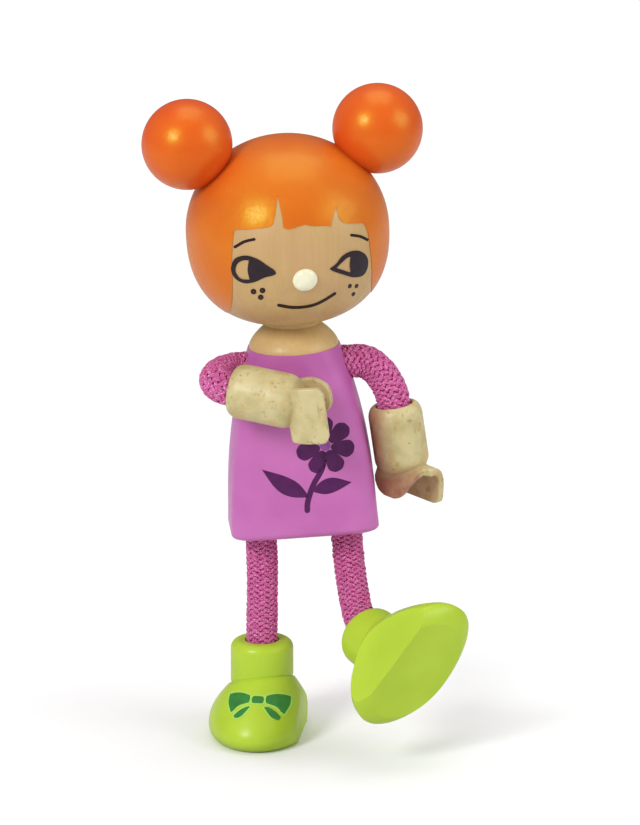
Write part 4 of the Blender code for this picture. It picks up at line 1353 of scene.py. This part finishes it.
def make_grip(name, thumb_tip):
    """The open C of fingers and thumb: a strip drawn out step by step round its bend."""
    stations = grip_stations(thumb_tip)
    middles = [grip_middle(x, side) for x, side in stations]
    centre = Matrix.Translation((GRIP_CENTRE, 0, 0))
    turn = centre @ Matrix.Rotation(-GRIP_TURN, 4, "Y") @ centre.inverted()
    bpy.ops.mesh.primitive_plane_add(size=GRIP_WALL, location=(0, 0, 0))
    grip = named(name)
    open_up(grip)
    select_whole()
    corners = []
    for i, (x, side) in enumerate(stations):
        before, after = middles[max(0, i - 1)], middles[min(len(middles) - 1, i + 1)]
        along = (after - before).normalized()
        out = Vector((along.y, -along.x, 0)) * (GRIP_WALL / 2)
        low, high = (Vector((0, 0, level)) for level in grip_widths(x, side, thumb_tip))
        ring = [middles[i] - out + low, middles[i] + out + low,
                middles[i] + out + high, middles[i] - out + high]
        corners.append([turn @ corner for corner in ring])
    first = [point.index for point in cage().faces[0].verts]
    move_points(dict(zip(first, corners[0])))
    for before, after in zip(corners, corners[1:]):
        draw_out((0, 0, 0))
        step = {}
        for point in chosen():
            near = min(range(4), key=lambda k: (before[k] - point.co).length)
            step[point.index] = after[near]
        move_points(step)
    face_outwards()
    close_up()
    return grip


def move_points(places):
    """Carry single points of the open piece to new places."""
    work = cage()
    for i, place in places.items():
        work.verts[i].co = place
    bmesh.update_edit_mesh(bpy.context.edit_object.data)


def make_hand(side, aim, up, shift):
    """Cuff and grip moulded in one, softened where they meet."""
    rotation = hand_rotation(aim, up)
    mouth = joint_place(f"{side}_wrist_bend") + rotation @ Vector((WRIST_PIVOT_OUT, 0, 0)) + shift
    hand = turned(f"{side}_hand_moulding", cuff_profile(), 72)
    hand.matrix_world = Matrix.Rotation(-math.pi / 2, 4, "Y")
    only(hand)
    bpy.ops.object.transform_apply(rotation=True)
    cut_away(hand, make_grip(f"{side}_grip", THUMB_TIPS[side]), operation="UNION")
    remesh = hand.modifiers.new("mould", "REMESH")
    remesh.mode = "VOXEL"
    remesh.voxel_size = MOULD_VOXEL
    soften = hand.modifiers.new("soften", "SMOOTH")
    soften.factor = 0.5
    soften.iterations = MOULD_PASSES
    apply_steps(hand)
    paint_hand_shade(hand, side)
    settle(hand, frame_at(mouth, rotation), smooth=MOULD_SMOOTHING)
    hang_on(hand, f"{side}_wrist", "speckled_hand", COMPOSITE, f"{side}_hand")


def paint_hand_shade(hand, side):
    """Mark where painted shade goes inside the grip, and on the left hand where painted shade with the
    dress's painted reflection goes, as a level on each point.
    """
    mesh = hand.data
    painted_shade_and_bounce = mesh.attributes.new("painted_shade_and_bounce", "FLOAT", "POINT")
    levels = []
    centre = Vector((GRIP_CENTRE, 0, 0))
    for point in mesh.vertices:
        inward = centre - Vector((point.co.x, point.co.y, 0))
        near = max(0.0, 1 - inward.length / GRIP_PAINTED_SHADE_REACH)
        facing = max(0.0, point.normal.dot(inward.normalized())) if inward.length > FIT_GAP else 0.0
        beyond_cuff = point.co.x > CUFF_LENGTH - CUFF_DOME / 2
        level = GRIP_PAINTED_SHADE * facing * min(1.0, 2 * near + 0.4) * beyond_cuff
        # Left hand: painted shade with the dress's painted reflection on the side towards the dress and on
        # the thumb
        if side == "left":
            to_dress = max(0.0, point.normal.dot(DRESS_SIDE) - 0.15)
            level = max(level, DRESS_SIDE_PAINTED_BOUNCE * to_dress)
            rise = min(1.0, max(0.0, (point.co.x - CUFF_LENGTH + CUFF_DOME) / CUFF_DOME))
            thumb = min(1.0, max(0.0, point.co.y / GRIP_WALL - 0.5))
            level = max(level, THUMB_PAINTED_SHADE * rise * thumb)
        levels.append(level)
    painted_shade_and_bounce.data.foreach_set("value", levels)


# Shoes

def ring_to(west, east, toe, heel):
    fit_side(0, -1, west)
    fit_side(0, 1, east)
    fit_side(1, -1, toe)
    fit_side(1, 1, heel)


# What each shoe is carved to: its reach outwards, inwards, to the toe and to the heel, and the flat
# inner side's place at the sole, its lean outwards and its turn
Last = namedtuple("Last", "outer inward toe heel facet lean turn")
LASTS = {"right": Last(0.0105, 0.0101, 0.0162, 0.0128, 0.0081, 0.01, 0.0),
         "left": Last(0.0082, 0.0110, 0.0156, 0.0131, 0.0062, 0.23, 0.17)}


def shoe_ring(last, share):
    """The four reaches of a ring between the cuff's circle and the shoe's full outline."""
    full = (last.outer, last.inward, last.toe, last.heel)
    return [SHOE_CUFF_RADIUS + (reach - SHOE_CUFF_RADIUS) * share for reach in full]


def tip_ring(height, before, after):
    """Tip the selected ring further, so that its toe side and its inner side stand higher."""
    for axis, angle in (("X", SHOE_COLLAR_TILT), ("Y", SHOE_COLLAR_ROLL)):
        bpy.ops.transform.rotate(value=(after - before) * angle, orient_axis=axis,
                                 center_override=(0, 0, height))


def carve_shoe(name, last):
    """A shoe with its sole at Z 0, carved from a disc: out to its sides, in to the cuff, then bored."""
    bpy.ops.mesh.primitive_circle_add(vertices=SHOE_STEPS, radius=SHOE_CUFF_RADIUS, fill_type="NOTHING")
    shoe = named(name)
    open_up(shoe)
    select_whole()
    width = last.outer - SHOE_CUFF_RADIUS
    ring_to(*shoe_ring(last, 1 - SOLE_TUCK / width))
    height, tipped = 0.0, 0.0
    levels = []
    for rise in SOLE_RISES:
        levels.append((SHOE_SIDE_HEIGHT * rise, 1 - SOLE_TUCK * (1 - rise) ** 2 / width))
    contour = flowing([(rise, share) for rise, share in SHOE_CONTOUR_SHARES], steps=3)
    for at in contour:
        levels.append((SHOE_SIDE_HEIGHT + (SHOE_CUFF_BASE - SHOE_SIDE_HEIGHT) * at.x, at.y))
    for level, share in levels:
        draw_out((0, 0, level - height))
        height = level
        ring_to(*shoe_ring(last, share))
        rise = max(0.0, (level - SHOE_SIDE_HEIGHT) / (SHOE_CUFF_BASE - SHOE_SIDE_HEIGHT))
        tip_ring(height, tipped, rise ** 2)
        tipped = rise ** 2
    walls = [(SHOE_CUFF_RADIUS - GROOVE, SHOE_CUFF_BASE + GROOVE / 2),
             (SHOE_CUFF_RADIUS - GROOVE, SHOE_CUFF_BASE + GROOVE),
             (SHOE_CUFF_RADIUS, SHOE_CUFF_BASE + 3 * GROOVE)]
    walls += arc(SHOE_CUFF_RADIUS - RIM_ROUNDING, SHOE_CUFF_TOP - RIM_ROUNDING,
                 RIM_ROUNDING, RIM_ROUNDING, 0, 90, 8)
    walls += arc(LEG_HOLE + RIM_EDGE, SHOE_CUFF_TOP - RIM_EDGE, RIM_EDGE, RIM_EDGE, 90, 180, 3)
    walls.append((LEG_HOLE, SHOE_HEIGHT - SHOE_HOLE_DEPTH))
    for radius, level in walls:
        draw_out((0, 0, level - height))
        height = level
        if level > SHOE_CUFF_BASE + 3 * GROOVE:
            bpy.ops.transform.resize(value=(1, 1, 0), center_override=(0, 0, height))
        ring_to(radius, radius, radius, radius)
    bpy.ops.mesh.edge_face_add()
    choose(lambda at: at.z < TOUCH)
    bpy.ops.mesh.edge_face_add()
    face_outwards()
    select_whole()
    bpy.ops.mesh.bisect(plane_co=(last.facet, 0, 0), plane_no=(1, last.turn, -last.lean),
                        use_fill=True, clear_outer=True)
    close_up()
    return shoe


def make_shoes():
    shoes = {}
    for side in ("right", "left"):
        shoe = shoes[side] = carve_shoe(f"{side}_shoe_painted", LASTS[side])
        soften = shoe.modifiers.new("edges", "BEVEL")
        soften.width = FACET_ROUNDING
        soften.segments = 3
        soften.limit_method = "ANGLE"
        soften.angle_limit = SHARP_EDGE
        apply_steps(shoe)
    open_up(shoes["left"])
    select_whole()
    bpy.ops.transform.resize(value=(-1, 1, 1), center_override=(0, 0, 0))
    face_outwards(weld=False)
    close_up()
    for side, place in (("right", RIGHT_SHOE), ("left", LEFT_SHOE)):
        piece = shoes[side]
        bow = make_bow(side, piece)
        settle(piece, place)
        even = piece.modifiers.new("even", "WEIGHTED_NORMAL")
        even.keep_sharp = True
        apply_steps(piece)
        hang_on(piece, f"{side}_ankle", "lime_paint", LIME, f"{side}_shoe")
        carry(bow, place, f"{side}_ankle")


# The bow printed on each shoe, in mm right and up as the photograph shows the standing shoe

BOW_MIDDLE = Vector((0.0006, -0.0108, 0.0098))
BOW_WING = ((-1.5, 0.9), (-1.5, 0.9), (-3.2, 1.3), (-4.9, 1.2), (-6.1, 0.8), (-6.1, 0.8), (-6.2, -0.8),
            (-5.3, -2.9), (-5.3, -2.9), (-4.6, -2.4), (-3.6, -1.4), (-1.6, -0.7), (-1.6, -0.7), (-1.4, 0.1))
BOW_TAIL = ((-1.5, -1.1), (-1.5, -1.1), (-2.6, -1.5), (-3.8, -2.3), (-4.7, -3.2), (-4.7, -3.2),
            (-4.3, -3.8), (-2.9, -3.4), (-1.2, -1.4), (-1.2, -1.4))
BOW_KNOT = ((-1.0, 0.75), (0.0, 0.85), (1.0, 0.75), (1.3, 0.3), (1.3, -0.3), (1.0, -0.75), (0.0, -0.8),
            (-1.0, -0.75), (-1.3, -0.3), (-1.3, 0.3))
BOW_EDGE = 0.00027


def make_bow(side, shoe):
    """A knot, two wings and two tails, each with a pale line round it."""
    mirror = 1 if side == "right" else -1
    middle = BOW_MIDDLE.copy()
    middle.x *= mirror
    plane = (Matrix.Translation(middle) @ Matrix.Rotation(math.pi / 2 - CAMERA_PITCH, 4, "X")
             @ Matrix.Translation((0, 0, LASTS[side].toe)))
    parts = [("knot", BOW_KNOT, 1)]
    for way, word in ((1, "outer"), (-1, "inner")):
        parts += [(f"{word}_wing", BOW_WING, way), (f"{word}_tail", BOW_TAIL, way)]
    prints = []
    for name, shape, way in parts:
        outline = flowing([(x * way * mirror, y) for x, y in in_mm(shape)], True, 5)
        prints.append(printed(f"{side}_bow_{name}", [outline], plane, shoe, BOW_INK))
        prints.append(printed(f"{side}_bow_{name}_edge", edging(outline, BOW_EDGE), plane, shoe,
                              BOW_LINE_INK, lift=BOW_EDGE_LIFT))
    return prints


# Camera, floor and lights

def look_at(place, target):
    return aimed(Vector(place) - Vector(target), Vector((1, 0, 0))).to_euler()


def set_camera():
    camera = bpy.data.cameras.new("camera")
    camera.sensor_fit = "VERTICAL"
    camera.sensor_height = CAMERA_SENSOR
    camera.lens = CAMERA_LENS
    camera.clip_end = CAMERA_REACH
    holder = bpy.data.objects.new("camera", camera)
    holder.location = CAMERA_PLACE
    holder.rotation_euler = (math.pi / 2 - CAMERA_PITCH, 0, 0)
    bpy.context.scene.collection.objects.link(holder)
    bpy.context.scene.camera = holder
    bpy.context.scene.view_settings.view_transform = "Standard"


def hang_lamps():
    for name, place, size, power in SOFTBOXES:
        lamp = bpy.data.lights.new(name, "AREA")
        lamp.shape = "SQUARE"
        lamp.size = size
        lamp.energy = power
        light = bpy.data.objects.new(name, lamp)
        light.location = place
        light.rotation_euler = look_at(place, FIGURE_MIDDLE)
        bpy.context.scene.collection.objects.link(light)


def lay_floor():
    """White paper that takes the doll's shadow and glows to pure white further out."""
    bpy.ops.object.select_all(action="DESELECT")
    bpy.ops.mesh.primitive_plane_add(size=FLOOR_SIZE, location=(0, 0, -FLOOR_DROP))
    floor = named("studio_floor")
    paper = Finish("studio_white", Roughness=1.0, Specular_IOR_Level=0.0)
    looked_at = paper.node("LightPath", "Is Camera Ray", {})
    distance = paper.node("VectorMath", "Value", {0: paper.place()}, operation="LENGTH")
    lit = paper.node("BsdfDiffuse", "BSDF", {"Color": (FLOOR_SEEN, FLOOR_SEEN, FLOOR_SEEN, 1)})
    glow = paper.node("Emission", "Emission", {"Color": WHITE, "Strength": FLOOR_GLOW})
    seen = paper.node("MixShader", "Shader", {0: paper.ramp(distance, *FLOOR_FADE), 1: lit, 2: glow})
    dull = paper.node("BsdfDiffuse", "BSDF", {"Color": (FLOOR_BOUNCE, FLOOR_BOUNCE, FLOOR_BOUNCE, 1)})
    both = paper.node("MixShader", "Shader", {0: looked_at, 1: dull, 2: seen})
    out = next(node for node in paper.tree.nodes if node.type == "OUTPUT_MATERIAL")
    paper.tree.links.new(both, out.inputs["Surface"])
    floor.data.materials.append(paper.made)


def fill_air():
    """White air: full to the camera, dimmer as light, and dimmer still in reflections."""
    world = bpy.data.worlds.new("studio_air")
    world.use_nodes = True
    bpy.context.scene.world = world
    tree = world.node_tree
    back = tree.nodes["Background"]
    back.inputs["Color"].default_value = WHITE
    looked_at = add_node(tree, "LightPath", "Is Camera Ray", {})
    mirrored = add_node(tree, "LightPath", "Is Glossy Ray", {})
    level = add_node(tree, "MapRange", "Result",
                     {"Value": looked_at, "To Min": AIR_LEVEL, "To Max": 1.0})
    dimmed = add_node(tree, "Math", "Value", {0: mirrored, 1: -GLOSSY_DIMMING * AIR_LEVEL, 2: level},
                      operation="MULTIPLY_ADD")
    tree.links.new(dimmed, back.inputs["Strength"])


def dress_inner_parts():
    """Give the dowels, wires and the cord in the shoulders their own finishes."""
    for name, node in frame["nodes"].items():
        finish = None
        if "dowel" in name:
            finish = DOWEL_WOOD
        elif "wire" in name:
            finish = WIRE
        elif name == "chest_cord":
            finish = CORE
        if finish:
            node.data.materials.clear()
            node.data.materials.append(finish)


def make_arms():
    for side, aim, up, shift in (("right", RIGHT_HAND_AIM, RIGHT_HAND_UP, Vector()),
                                 ("left", LEFT_HAND_AIM, LEFT_HAND_UP, LEFT_HAND_SHIFT)):
        way = hand_rotation(aim, up) @ Vector((1, 0, 0))
        across = joint_axis(f"{side}_shoulder_swivel").cross(way)
        make_limb(side, "arm", ARM, ARM_BENDS[side], way, across, ARM_CORD_RADIUS, shift)
        make_hand(side, aim, up, shift)


def make_legs():
    torso = TORSO.to_3x3()
    left_down = LEFT_FOOT @ DOWN
    for side, way, across in (("right", DOWN, torso @ Vector((-1, 0, 0))),
                              ("left", left_down, (torso @ DOWN).cross(left_down))):
        make_limb(side, "leg", LEG, LEG_BENDS[side], way, across, LEG_CORD_RADIUS)


set_camera()
hang_lamps()
lay_floor()
fill_air()
make_dress()
make_shoulders()
make_head()
make_buns()
make_nose()
make_arms()
make_legs()
make_shoes()
dress_inner_parts()
